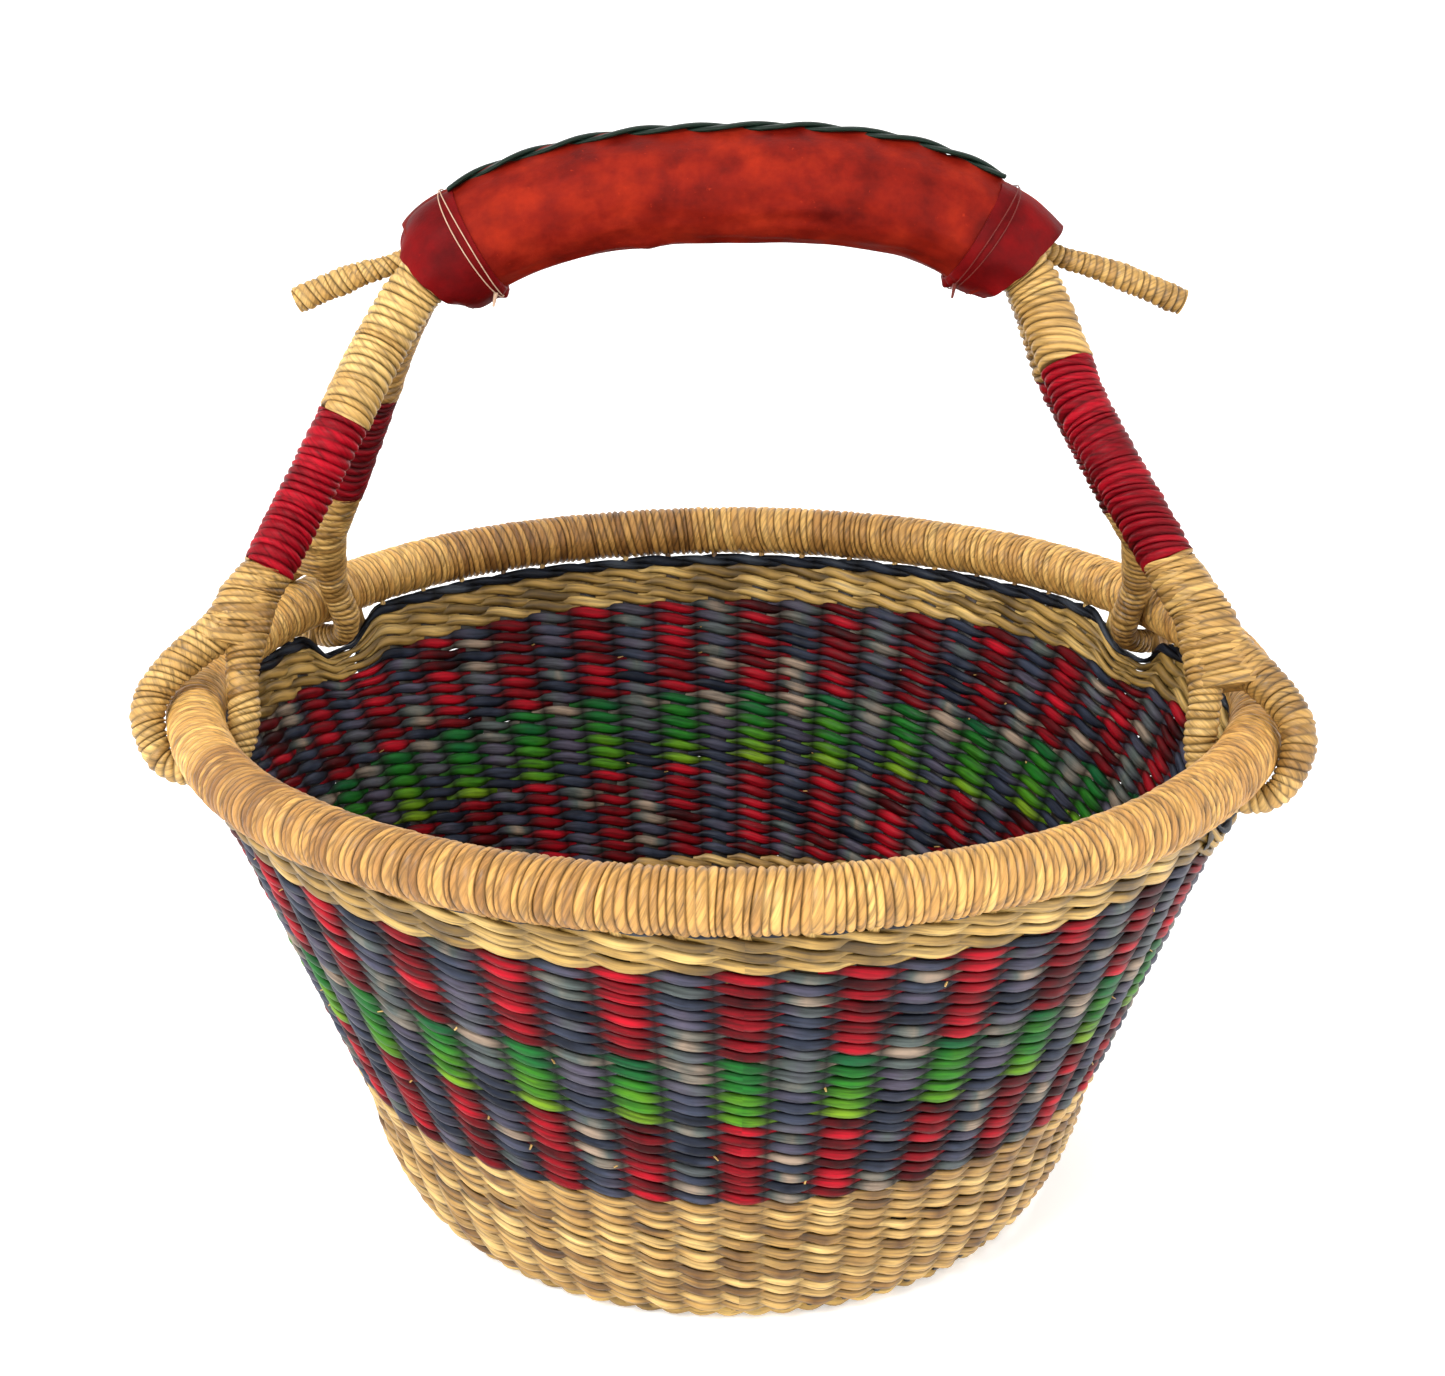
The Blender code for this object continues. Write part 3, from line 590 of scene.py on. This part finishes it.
def loop_frame(name):
    """Centre on the rim, outward direction and up-the-loop direction."""
    azimuth = LEGS[name][0]
    spots = [on_circle(RIM_RADIUS, RIM_HEIGHT, np.array(azimuth + d)) for d in (-1.0, 0.0, 1.0)]
    behind, centre, ahead = (Vector(spot) for spot in spots)
    along = (ahead - behind).normalized()
    outward = along.cross(Vector((0, 0, 1)))
    if (along.y > 0) != name.startswith("front"):
        along = -along
    return centre, outward, Vector((0, 0, math.cos(LOOP_LEAN))) + along * math.sin(LOOP_LEAN)


def in_loop(name, outward_by, up_by):
    centre, outward, up = loop_frame(name)
    return centre + outward * outward_by + up * up_by


# A leg's foot, in the loop's plane: (outward, up, radius)
FOOT = (-0.0235, 0.0425, 0.0083)


def loop_points(name):
    """A leg's loop in its own plane, down inside the rim, under it and up outside."""
    low = LOOP_BOTTOM[name.split("_")[0]]
    return [
        FOOT,
        (-0.0192, 0.0275, 0.0070),
        (-0.0163, 0.0130, 0.0056),
        (-0.0159, -0.0010, 0.0055),
        (-0.0115, 0.0050 - low, 0.0046),
        (0.0, 0.0010 - low, 0.0047),
        (0.0116, 0.0052 - low, 0.0048),
        (0.0160, -0.0010, 0.0058),
        (0.0144, 0.0085, 0.0060),
        (0.0086, 0.0162, 0.0063),
        (0.0002, 0.0232, 0.0069),
        (-0.0098, 0.0305, 0.0072),
    ]


# How far down a loop's inner and outer branch the turns hold both, in samples of their outlines
FORK = {"front_right": (11.0, 16.0)}


def leg_path(name):
    """A leg's centreline, upright, from its foot up to the middle of the grip, finely sampled."""
    side = -1.0 if name.endswith("left") else 1.0
    arch = [Vector((side * x, bow_y(name, x), z)) for x, z in ARCH]
    foot = in_loop(name, FOOT[0], FOOT[1])
    knee = foot.lerp(arch[-1], 0.45)
    return spline([foot, knee] + arch[::-1], 16)


def stretch(path, keep):
    """The part of a path where keep(points) is above 0, with its ends cut exactly there."""
    value = keep(path)
    cuts = np.flatnonzero((value[:-1] > 0) != (value[1:] > 0))
    share = value[cuts] / (value[cuts] - value[cuts + 1])
    ends = path[cuts] + (path[cuts + 1] - path[cuts]) * share[:, None]
    order = np.concatenate([np.flatnonzero(value > 0), cuts + 0.5])
    return np.vstack([path[value > 0], ends])[np.argsort(order)]


def outline(points, side):
    """One edge of a tube in its loop's plane."""
    line = spline(points, 6)
    slope = np.gradient(line[:, :2], axis=0)
    slope /= np.linalg.norm(slope, axis=1)[:, None]
    return line[:, :2] + side * np.stack([slope[:, 1], -slope[:, 0]], -1) * line[:, 2:]


def splayed_turns(piece, name, top, seed):
    """The turns that hold both branches of a loop together, down to the fork."""
    points = loop_points(name)
    inner = outline(points[:4], 1.0)
    outer = outline([(-0.0185, 0.0425, 0.0075)] + points[:6:-1], -1.0)
    ends = FORK.get(name, (8.0, 11.5))
    knots = []
    for share in np.linspace(0.0, 1.0, 7):
        sides = [np.array([np.interp(share * end, np.arange(len(edge)), edge[:, k]) for k in (0, 1)])
                 for edge, end in zip((inner, outer), ends)]
        low, high = (np.array(in_loop(name, *spot)) for spot in sides)
        across = (high - low) / np.linalg.norm(high - low)
        knots.append((*(low + high) / 2, np.linalg.norm(high - low) / 2 - 0.0002,
                      0.0088 - 0.0012 * share, *across))
    knots.insert(0, (*top, LEG_RADIUS + 0.0003, LEG_RADIUS + 0.0003, *knots[0][5:]))
    path = spline(knots, 8)
    _, outward, up = loop_frame(name)
    track = Track(at_rest(path[:, :3]), front=np.array(outward.cross(up)))
    track.up = path[:, 5:]
    wrap(piece, track, np.stack([track.distance, path[:, 4]], -1), seed, turn=0.0028, depth=0.0009,
         base=(0.4, 0.75), sides=36, oval=np.stack([track.distance, path[:, 3]], -1))


def leg(name, looks):
    """One leg: natural turns at the top, red turns below and the loop round the rim."""
    _, red_from, red_to = LEGS[name]
    path = leg_path(name)
    top = stretch(path, lambda p: np.minimum(p[:, 2] - red_to, np.abs(p[:, 0]) - WRAP_START))
    middle = stretch(path, lambda p: np.minimum(p[:, 2] - red_from, red_to - p[:, 2]))
    straw, red = looks
    seed = sum(ord(letter) for letter in name)
    for points, label, look, turn, radius, base in (
            (top, "natural", straw, 0.0031, LEG_RADIUS + 0.0006, (0.35, 0.75)),
            (middle, "red", red, 0.0028, LEG_RADIUS + 0.0003, (0.25, 0.7))):
        piece = Piece()
        wrap(piece, Track(at_rest(points)), radius, seed, turn=turn, depth=0.0011, base=base,
             tilt=0.22 if name.endswith("left") else -0.26)
        piece.finish(f"{name}_{label}_turns", *look, "handle", [f"{name}_{label}_wrap"], weld=True)
    below = stretch(path, lambda p: red_from - p[:, 2])[::-1]
    bound = stretch(path, lambda p: np.minimum(p[:, 2] - 0.2290, 0.2385 - p[:, 2]))[[0, -1]]
    loop = [(*in_loop(name, u, v), r) for u, v, r in loop_points(name)]
    loop = spline(loop + [(*bound[0], 0.0072), (*bound[1], 0.0060)], 8)
    points = at_rest(np.vstack([below[:-1], loop[:, :3]]))
    widths = np.concatenate([np.linspace(LEG_RADIUS, FOOT[2], len(below))[:-1], loop[:, 3]])
    track = Track(points)
    piece = Piece()
    wrap(piece, track, np.stack([track.distance, widths + 0.0001], -1), seed + 1, turn=0.0026,
         depth=0.0008, base=(0.35, 0.75), tilt=0.10)
    splayed_turns(piece, name, below[0], seed + 2)
    piece.finish(f"{name}_loop_turns", *straw, "handle",
                 [f"{name}_loop_wrap", f"{name.split('_')[0]}_bow_core"], weld=True)


def arch_track(rise=0.0, end=COLLAR_END, steps=24):
    """The grip's centreline from end to end, raised square to itself."""
    right = np.array([(x, GRIP_Y, z) for x, z in ARCH])
    left = right[:0:-1] * [-1.0, 1.0, 1.0]
    path = stretch(spline(np.vstack([left, right]), steps), lambda p: end - np.abs(p[:, 0]))
    front = np.array([0.0, -1.0, 0.0])
    if rise:
        path = path + Track(path, front=front).up * rise
    return Track(at_rest(path), front=np.array(Matrix.Rotation(-REST_LEAN, 3, "X")) @ front)


def horn(label, look):
    """The wrapped end of the stiffening rod, with its blunt tip."""
    side = -1.0 if label == "left" else 1.0
    inner = arch_track(ROD_RISE).points
    start = inner[0] if side < 0 else inner[-1]
    length = HORN_LENGTH[label]
    reach = np.array([(side * x, 0.0, z) for x, z in HORN]) * length
    root = (inner[8] if side < 0 else inner[-9])
    path = spline(np.vstack([root, start + reach]), 12)
    track = Track(path)
    full = track.length
    widths = [(0.0, 0.0036), (full * 0.25, 0.0038), (full * 0.5, 0.0044), (full * 0.62, 0.0050),
              (full * 0.75, 0.0047), (full * 0.93, 0.0050), (full, 0.0046)]
    piece = Piece()
    wrap(piece, track, widths, 61 + int(side), turn=0.0025, depth=0.0007, sides=20,
         base=(0.4, 0.8), tilt=0.08)
    piece.finish(f"horn_turns_{label}", *look, "handle", [f"horn_wrap_{label}", "grip_rod"],
                 weld=True)


def leather_skin(track, s, angle, outer, inner):
    """Both faces of a piece of leather, from their radii, as one closed ring of rings."""
    faces = track.around(s, outer, angle), track.around(s, inner, angle)[::-1]
    return np.concatenate(faces, 0)


def crease(x, angle, scale_x, scale_a, seed):
    """Smooth noise over the leather, longer one way than the other."""
    flat = np.empty(x.shape)
    for index in np.ndindex(x.shape):
        a = angle[index]
        spot = Vector((x[index] * scale_x, math.cos(a) * scale_a, math.sin(a) * scale_a + seed))
        flat[index] = noise.noise(spot)
    return flat


def leather_grip(material):
    """The leather tube, pulled taut along the top and creased underneath."""
    track = arch_track(end=0.097)
    count, sides = 200, 72
    s, angle = np.meshgrid(np.linspace(0.0, track.length, count),
                           2 * math.pi * np.arange(sides) / sides, indexing="ij")
    under = 0.5 - 0.5 * np.cos(angle)
    top = np.exp(-(np.angle(np.exp(1j * angle)) / 0.17) ** 2)
    radius = LEATHER_RADIUS - 0.0002 + 0.0005 * crease(s, angle, 22.0, 1.2, 1.0)
    radius += (0.0002 + 0.0009 * under) * crease(s, angle, 30.0, 5.0, 7.0)
    radius += (0.0001 + 0.0002 * under) * crease(s, angle, 90.0, 14.0, 3.0)
    scallop = np.abs(np.sin(math.pi * s / LACING_STITCH))
    radius += top * (0.0008 + 0.0016 * scallop ** 0.7)
    nip = np.exp(-((s - 0.37 * track.length) / 0.006) ** 2) * np.exp(-((angle - 2.75) / 0.30) ** 2)
    radius += 0.0016 * nip
    grid = leather_skin(track, s, angle, radius, np.full(s.shape, LEATHER_RADIUS) - 0.0014)
    piece = Piece()
    along = np.concatenate([s[:, 0], s[::-1, 0]])
    across = np.arange(sides + 1) * 2 * math.pi * LEATHER_RADIUS / sides
    piece.grid(grid, along, across, 0.5, 1.0, ring=True)
    piece.finish("grip_leather", material, "leather", "handle", ["leather_grip"])


def collar(label, material):
    """The leather cuff: a rounded bag on the left, a straight cuff with a flap on the right."""
    side = -1.0 if label == "left" else 1.0
    end, mouth_high = (0.1005, 0.0122) if side < 0 else (0.1010, 0.0150)
    track = arch_track(end=end)
    count, sides = 60, 96
    at_start = np.interp(side * (COLLAR_START + 0.001), track.points[:, 0], track.distance)
    at_end = track.length if side > 0 else 0.0
    t, angle = np.meshgrid(np.linspace(0.0, 1.0, count), 2 * math.pi * np.arange(sides) / sides,
                           indexing="ij")
    turn = np.angle(np.exp(1j * (angle - 0.10)))
    flap = np.exp(-(turn / 0.60) ** 4) if side > 0 else np.zeros(turn.shape)
    reach = 1.0 + 0.05 * crease(t * 0, angle, 1.0, 3.0, 9.0) * t + 0.10 * flap * t
    s = at_start + (at_end - at_start) * t * reach
    full = LEATHER_RADIUS + 0.0016
    mouth = mouth_high + (0.0197 - mouth_high) * np.sin(angle) ** 2
    power = 3.2 if side < 0 else 1.6
    taper = np.clip((t - 0.25) / 0.75, 0.0, 1.0) ** power * (1.0 - 1.15 * flap)
    radius = full - 0.0010 * (1.0 - t) ** 4 - (full - mouth) * taper
    folds = np.sin(9.0 * angle + 2.0 * crease(t * 0, angle, 1.0, 2.0, 4.0))
    radius += 0.0005 * folds * np.clip((t - 0.4) / 0.6, 0.0, 1.0) * (1.0 - flap)
    radius += 0.0009 * crease(s, angle, 45.0, 2.0, 2.0)
    pucker = np.exp(-((t - 0.12) / 0.12) ** 2) * np.exp(-((angle - math.pi) / 0.6) ** 2)
    radius += 0.0022 * pucker * (0.6 + 0.4 * np.sin(21.0 * angle))
    grid = leather_skin(track, s, angle, radius, radius - 0.0012)
    piece = Piece()
    along = np.concatenate([s[:, 0], s[::-1, 0]])
    across = np.arange(sides + 1) * 2 * math.pi * LEATHER_RADIUS / sides
    piece.grid(grid, along, across, 0.5, 1.0, ring=True)
    piece.finish(f"collar_leather_{label}", material, "collar_leather", "handle",
                 [f"leather_collar_{label}"])


def lacing(material):
    """Two flat thongs that cross over each other along the top seam."""
    track = arch_track(rise=LEATHER_RADIUS + 0.0014, end=LACING_END)
    count = 420
    s = np.linspace(0.0, track.length, count)
    piece = Piece()
    sides = 10
    angle = 2 * math.pi * np.arange(sides) / sides
    for strand in range(2):
        phase = math.pi * s / LACING_STITCH + strand * math.pi
        slip_side = 0.0024 * np.cos(phase)
        slip_up = 0.0008 * np.sin(phase) + 0.0003
        wide = 0.0026 + 0.0004 * np.sin(phase * 2.0)
        centre_up = slip_up[:, None] + 0.0009 * np.cos(angle)
        centre_side = slip_side[:, None] + wide[:, None] * np.sin(angle)
        points = track.section(s, centre_up, centre_side)
        piece.grid(points, s, np.arange(sides + 1) * 0.0012, 0.3 + 0.4 * strand, 1.0)
    piece.finish("seam_lacing", material, "lacing", "handle", ["grip_lacing"])


def tie(label, material):
    """The thin thread tied round a collar, twice round, with its knot and ends."""
    side = -1.0 if label == "left" else 1.0
    track = arch_track(end=0.1)
    at = np.interp(side * THREAD_AT, track.points[:, 0], track.distance)
    piece = Piece()
    turn = np.linspace(0.0, 2 * math.pi, 73)[:-1]
    for slant, extra in ((0.0018, 0.0), (-0.0010, 0.0002)):
        s = at + slant * np.sin(turn) + 0.0005
        radius = LEATHER_RADIUS + 0.0022 + extra + 0.0003 * np.sin(3 * turn)
        rod(piece, track.around(s, radius, turn), 0.00020, 6, tone=0.6, ring=True)
    knot = track.around(np.array([at]), np.array([LEATHER_RADIUS + 0.0020]), np.array([2.6]))[0]
    bend = np.linspace(0.0, 1.0, 8)
    drop = np.stack([-0.0010 * bend, -0.0010 * bend, -0.0048 * bend], -1)
    rod(piece, knot + drop, 0.0013 - 0.0006 * bend, 8, tone=0.6, flat=0.6)
    piece.finish(f"collar_thread_{label}", material, "thread", "handle", [f"tie_thread_{label}"])


# ---- Materials ----------------------------------------------------------------
def node(tree, kind, values=(), **settings):
    """Add a shader node, set its attributes and its unlinked inputs."""
    made = tree.nodes.new(kind)
    for key, value in settings.items():
        setattr(made, key, value)
    for key, value in dict(values).items():
        made.inputs[key].default_value = value
    return made


def ramp(tree, source, stops):
    """A colour ramp fed by a socket; stops are (position, linear colour)."""
    made = tree.nodes.new("ShaderNodeValToRGB")
    band = made.color_ramp
    while len(band.elements) < len(stops):
        band.elements.new(0.5)
    for element, (place, colour) in zip(band.elements, stops):
        element.position = place
        element.color = (*colour, 1.0)
    tree.links.new(source, made.inputs["Fac"])
    return made.outputs["Color"]


def darken(tree, colour, share):
    """Multiply a colour by a share from 0 to 1."""
    return mixed(tree, "MULTIPLY", 1.0, colour, ramp(tree, share, [(0.0, (0.0,) * 3), (1.0, (1.0,) * 3)]))


def mixed(tree, mode, amount, first, second):
    """Blend two colour sockets; amount is a socket or a number."""
    made = node(tree, "ShaderNodeMix", data_type="RGBA", blend_type=mode)
    for index, value in ((0, amount), (6, first), (7, second)):
        if isinstance(value, (int, float, tuple)):
            made.inputs[index].default_value = value
        else:
            tree.links.new(value, made.inputs[index])
    return made.outputs[2]


def remap(tree, source, low, high, to_low, to_high):
    made = node(tree, "ShaderNodeMapRange", {1: low, 2: high, 3: to_low, 4: to_high})
    tree.links.new(source, made.inputs[0])
    return made.outputs[0]


def bumped(tree, shader, height, strength, distance, under=None):
    """Raise the surface by a height socket, on top of another bump if there is one."""
    bump = node(tree, "ShaderNodeBump", {"Strength": strength, "Distance": distance})
    tree.links.new(height, bump.inputs["Height"])
    if under:
        tree.links.new(under.outputs["Normal"], bump.inputs["Normal"])
    tree.links.new(bump.outputs["Normal"], shader.inputs["Normal"])
    return bump


def new_material(name):
    made = bpy.data.materials.new(name)
    made.use_nodes = True
    return made, made.node_tree, made.node_tree.nodes["Principled BSDF"]


def noise_at(tree, vector, scale, stretch_by=(1.0, 1.0, 1.0), detail=3.0):
    """Noise over a coordinate, stretched by a mapping."""
    mapping = node(tree, "ShaderNodeMapping", {"Scale": stretch_by})
    tree.links.new(vector, mapping.inputs["Vector"])
    made = node(tree, "ShaderNodeTexNoise", {"Scale": scale, "Detail": detail, "Roughness": 0.6})
    tree.links.new(mapping.outputs["Vector"], made.inputs["Vector"])
    return made.outputs["Fac"]


def straw_material(name, stops, gloss=0.36, groove_shade=0.03, streak=(0.12, 1.45), rough=(0.34, 0.58)):
    """Split straw: colour by each straw's tone, long fibres, mottling, and painted shade in the grooves,
    where rise is low.
    """
    made, tree, shader = new_material(name)
    uv = node(tree, "ShaderNodeUVMap", uv_map="straw").outputs["UV"]
    place = node(tree, "ShaderNodeTexCoord").outputs["Object"]
    tone = node(tree, "ShaderNodeAttribute", attribute_name="tone").outputs["Fac"]
    rise = node(tree, "ShaderNodeAttribute", attribute_name="rise").outputs["Fac"]
    fibre = noise_at(tree, uv, 1.0, (45.0, 700.0, 1.0), 4.0)
    patch = noise_at(tree, place, 90.0)
    drift = node(tree, "ShaderNodeMath", {1: 0.30}, operation="MULTIPLY_ADD")
    tree.links.new(patch, drift.inputs[0])
    tree.links.new(tone, drift.inputs[2])
    shifted = node(tree, "ShaderNodeMath", {1: 0.15}, operation="SUBTRACT")
    tree.links.new(drift.outputs[0], shifted.inputs[0])
    colour = ramp(tree, shifted.outputs[0], stops)
    grain = remap(tree, fibre, 0.25, 0.75, *streak)
    colour = darken(tree, colour, grain)
    # painted shade: the colour is darkened where rise is low, in grooves, at crossings and on the stakes
    # inside the weave
    depth = remap(tree, rise, 0.0, 0.8, groove_shade, 1.0)
    colour = darken(tree, colour, depth)
    tree.links.new(colour, shader.inputs["Base Color"])
    tree.links.new(remap(tree, fibre, 0.2, 0.8, *rough), shader.inputs["Roughness"])
    bumped(tree, shader, fibre, 0.45, 0.00025)
    shader.inputs["Specular IOR Level"].default_value = gloss
    return made


def leather_material(name, stops, rough=(0.50, 0.78)):
    """Dyed goat leather: mottled dye, pores, creases along the grip and rubbed spots."""
    made, tree, shader = new_material(name)
    uv = node(tree, "ShaderNodeUVMap", uv_map="straw").outputs["UV"]
    place = node(tree, "ShaderNodeTexCoord").outputs["Object"]
    cloud = noise_at(tree, place, 55.0, detail=6.0)
    lines = noise_at(tree, uv, 1.0, (90.0, 150.0, 1.0), 6.0)
    pores = node(tree, "ShaderNodeTexVoronoi", {"Scale": 900.0})
    tree.links.new(place, pores.inputs["Vector"])
    specks = noise_at(tree, place, 420.0, detail=2.0)
    colour = ramp(tree, remap(tree, cloud, 0.3, 0.7, 0.0, 1.0), stops)
    shade = ramp(tree, lines, [(0.30, (0.55, 0.50, 0.50)), (0.55, (1.0, 1.0, 1.0))])
    colour = mixed(tree, "MULTIPLY", 0.45, colour, shade)
    worn = ramp(tree, specks, [(0.70, (0.0,) * 3), (0.78, (1.0,) * 3)])
    colour = mixed(tree, "MIX", worn, colour, (*stops[-1][1], 1.0))
    tree.links.new(colour, shader.inputs["Base Color"])
    tree.links.new(remap(tree, cloud, 0.3, 0.7, *rough), shader.inputs["Roughness"])
    creases = bumped(tree, shader, lines, 0.35, 0.0005)
    bumped(tree, shader, pores.outputs["Distance"], 0.25, 0.0002, under=creases)
    shader.inputs["Specular IOR Level"].default_value = 0.08
    return made


def cord_material(name, stops, rough=0.45):
    """A dark thong or a thin thread with fine strands."""
    made, tree, shader = new_material(name)
    uv = node(tree, "ShaderNodeUVMap", uv_map="straw").outputs["UV"]
    fibre = noise_at(tree, uv, 1.0, (260.0, 2600.0, 1.0), 3.0)
    tree.links.new(ramp(tree, fibre, stops), shader.inputs["Base Color"])
    bumped(tree, shader, fibre, 0.4, 0.0002)
    shader.inputs["Roughness"].default_value = rough
    shader.inputs["Specular IOR Level"].default_value = 0.15
    return made


def stage_material(name, colour, rough):
    made, _, shader = new_material(name)
    shader.inputs["Base Color"].default_value = (*colour, 1.0)
    shader.inputs["Emission Color"].default_value = (1.0, 1.0, 1.0, 1.0)
    shader.inputs["Emission Strength"].default_value = 0.30
    shader.inputs["Roughness"].default_value = rough
    shader.inputs["Specular IOR Level"].default_value = 0.1
    return made


# ---- Floor, light and camera --------------------------------------------------
def stage():
    """A round pale sweep: a flat floor that curves up into a wall all round, well behind the camera."""
    flat, bend, wall = 1.35, 0.55, 1.6
    profile = [(0.02 + flat * i / 6, 0.0) for i in range(7)]
    profile += [(0.02 + flat + bend * math.sin(a), bend - bend * math.cos(a))
                for a in (math.pi / 2 * i / 10 for i in range(1, 11))]
    profile.append((0.02 + flat + bend, wall))
    count = 96
    turn = 2 * math.pi * np.arange(count) / count
    points = [(r * math.cos(a), r * math.sin(a), z) for r, z in profile for a in turn]
    faces = [(i * count + j, i * count + (j + 1) % count, (i + 1) * count + (j + 1) % count,
              (i + 1) * count + j) for i in range(len(profile) - 1) for j in range(count)]
    faces.append(tuple(range(count)))
    mesh = bpy.data.meshes.new("studio_sweep")
    mesh.from_pydata(points, [], faces)
    mesh.shade_smooth()
    sweep = bpy.data.objects.new("studio_sweep", mesh)
    sweep.location.z = -0.0009
    mesh.materials.append(stage_material("sweep_paper", (0.94, 0.94, 0.94), 0.9))
    bpy.context.collection.objects.link(sweep)

    world = bpy.data.worlds.new("studio")
    bpy.context.scene.world = world
    world.use_nodes = True
    sky = world.node_tree.nodes["Background"]
    sky.inputs["Color"].default_value = (1.0, 1.0, 1.0, 1.0)
    sky.inputs["Strength"].default_value = 0.50


def softbox(name, place, target, size, power):
    lamp = bpy.data.lights.new(name, "AREA")
    lamp.shape = "RECTANGLE"
    lamp.size, lamp.size_y = size
    lamp.energy = power
    obj = bpy.data.objects.new(name, lamp)
    obj.location = place
    obj.rotation_euler = (Vector(target) - Vector(place)).to_track_quat("-Z", "Y").to_euler()
    bpy.context.collection.objects.link(obj)


def camera():
    """The photograph's view, solved from the rim, the foot and the wall's outline."""
    data = bpy.data.cameras.new("camera")
    data.sensor_width = 36.0
    data.lens = 36.0 * 2443.5 / 1445.0
    data.clip_start = 0.01
    cam = bpy.data.objects.new("camera", data)
    pitch = 0.3463
    turned = Matrix.Rotation(math.pi / 2 - pitch, 4, "X") @ Matrix.Rotation(-0.0032, 4, "Z")
    cam.matrix_world = Matrix.Translation((-0.0018, -0.8232, 0.4817)) @ turned
    bpy.context.collection.objects.link(cam)
    bpy.context.scene.camera = cam


# ---- Assembly -----------------------------------------------------------------
NATURAL = [(0.0, (0.12, 0.052, 0.010)), (0.25, (0.29, 0.150, 0.036)), (0.55, (0.48, 0.275, 0.074)),
           (1.0, (0.72, 0.47, 0.16))]
OLIVE = [(0.0, (0.11, 0.062, 0.012)), (0.28, (0.29, 0.170, 0.036)), (0.60, (0.48, 0.290, 0.072)),
         (1.0, (0.70, 0.465, 0.145))]
# The rim's straw is lighter than the wall's natural straw: partly its own paler straw and partly a
# painted highlight for the light that falls on the rim's front.
RIM_STRAW_AND_PAINTED_HIGHLIGHT = [(0.0, (0.19, 0.078, 0.018)), (0.28, (0.42, 0.205, 0.050)), (0.60, (0.62, 0.335, 0.086)),
             (1.0, (0.88, 0.55, 0.17))]
RED = [(0.0, (0.028, 0.0004, 0.0012)), (0.45, (0.185, 0.0010, 0.0055)), (1.0, (0.42, 0.0035, 0.014))]
GREY = [(0.0, (0.006, 0.009, 0.019)), (0.30, (0.034, 0.042, 0.068)), (0.55, (0.075, 0.064, 0.094)),
        (0.78, (0.075, 0.094, 0.086)), (1.0, (0.30, 0.22, 0.16))]
GREEN = [(0.0, (0.15, 0.27, 0.010)), (0.35, (0.055, 0.195, 0.006)), (0.65, (0.010, 0.135, 0.010)),
         (1.0, (0.004, 0.085, 0.024))]
NAVY = [(0.0, (0.004, 0.006, 0.012)), (0.6, (0.014, 0.020, 0.034)), (1.0, (0.05, 0.06, 0.075))]
LEATHER = [(0.0, (0.080, 0.0020, 0.0008)), (0.5, (0.165, 0.0062, 0.0018)), (1.0, (0.26, 0.0150, 0.0040))]
COLLAR = [(0.0, (0.060, 0.0004, 0.0008)), (0.5, (0.120, 0.0008, 0.0014)), (1.0, (0.185, 0.0020, 0.0026))]


def build():
    natural = straw_material("natural_straw", NATURAL)
    olive = straw_material("olive_straw", OLIVE)
    rim_straw_and_painted_highlight = straw_material("rim_straw_and_painted_highlight", RIM_STRAW_AND_PAINTED_HIGHLIGHT)
    red = straw_material("red_straw", RED, gloss=0.10)
    grey = straw_material("grey_straw", GREY, gloss=0.12)
    green = straw_material("green_straw", GREEN, gloss=0.12)
    navy = straw_material("navy_straw", NAVY, gloss=0.15)
    leather = leather_material("leather", LEATHER)
    cuff = leather_material("collar_leather", COLLAR)
    lace = cord_material("lacing", [(0.3, (0.0015, 0.005, 0.003)), (0.8, (0.006, 0.022, 0.012))])
    dyed_thread = cord_material("dyed_thread", [(0.2, (0.06, 0.004, 0.004)), (0.8, (0.16, 0.03, 0.02))])
    thread = cord_material("thread", [(0.2, (0.30, 0.16, 0.10)), (0.8, (0.62, 0.45, 0.32))], 0.7)

    straw_look, olive_look = (natural, "natural_straw"), (olive, "olive_straw")
    red_look, grey_look = (red, "red_straw"), (grey, "navy_straw")
    even = lambda row, rows: (0.5, 1.1)
    weave_band("natural_band_lower", "lower_natural", (straw_look, straw_look), even,
               hop=0.0015, waist=0.82, lit=0.45)
    weave_band("red_band_lower", "lower_red", (red_look, grey_look), even)
    weave_band("green_band", "middle", ((green, "green_straw"), grey_look),
               lambda row, rows: (0.15 + 0.75 * row / (rows - 1), 0.45))
    weave_band("red_band_upper", "upper_red", (red_look, grey_look), even)
    weave_band("natural_band_upper", "upper_natural", (olive_look, olive_look), even, WEAVE_TOP,
               hop=0.0017, waist=0.84, lit=0.50)
    straw_ends(natural)
    locking_strand(navy)
    stakes(natural)
    spokes(natural)
    woven_base(natural)
    foot_braid(olive)
    rim(rim_straw_and_painted_highlight)

    for name in LEGS:
        leg(name, ((natural, "natural_straw"), red_look))
    for label in ("left", "right"):
        horn(label, straw_look)
        collar(label, cuff)
        tie(label, thread if label == "left" else dyed_thread)
    leather_grip(leather)
    lacing(lace)


build()
stage()
softbox("key", (-0.7, -1.15, 1.35), (0.0, 0.0, 0.15), (0.6, 0.6), 25.0)
softbox("fill", (1.1, -0.9, 0.8), (0.0, 0.0, 0.15), (0.9, 0.9), 5.0)
softbox("top", (0.1, 0.3, 1.7), (0.0, 0.0, 0.1), (1.4, 1.4), 12.0)
camera()
bpy.context.scene.view_settings.view_transform = "Standard"
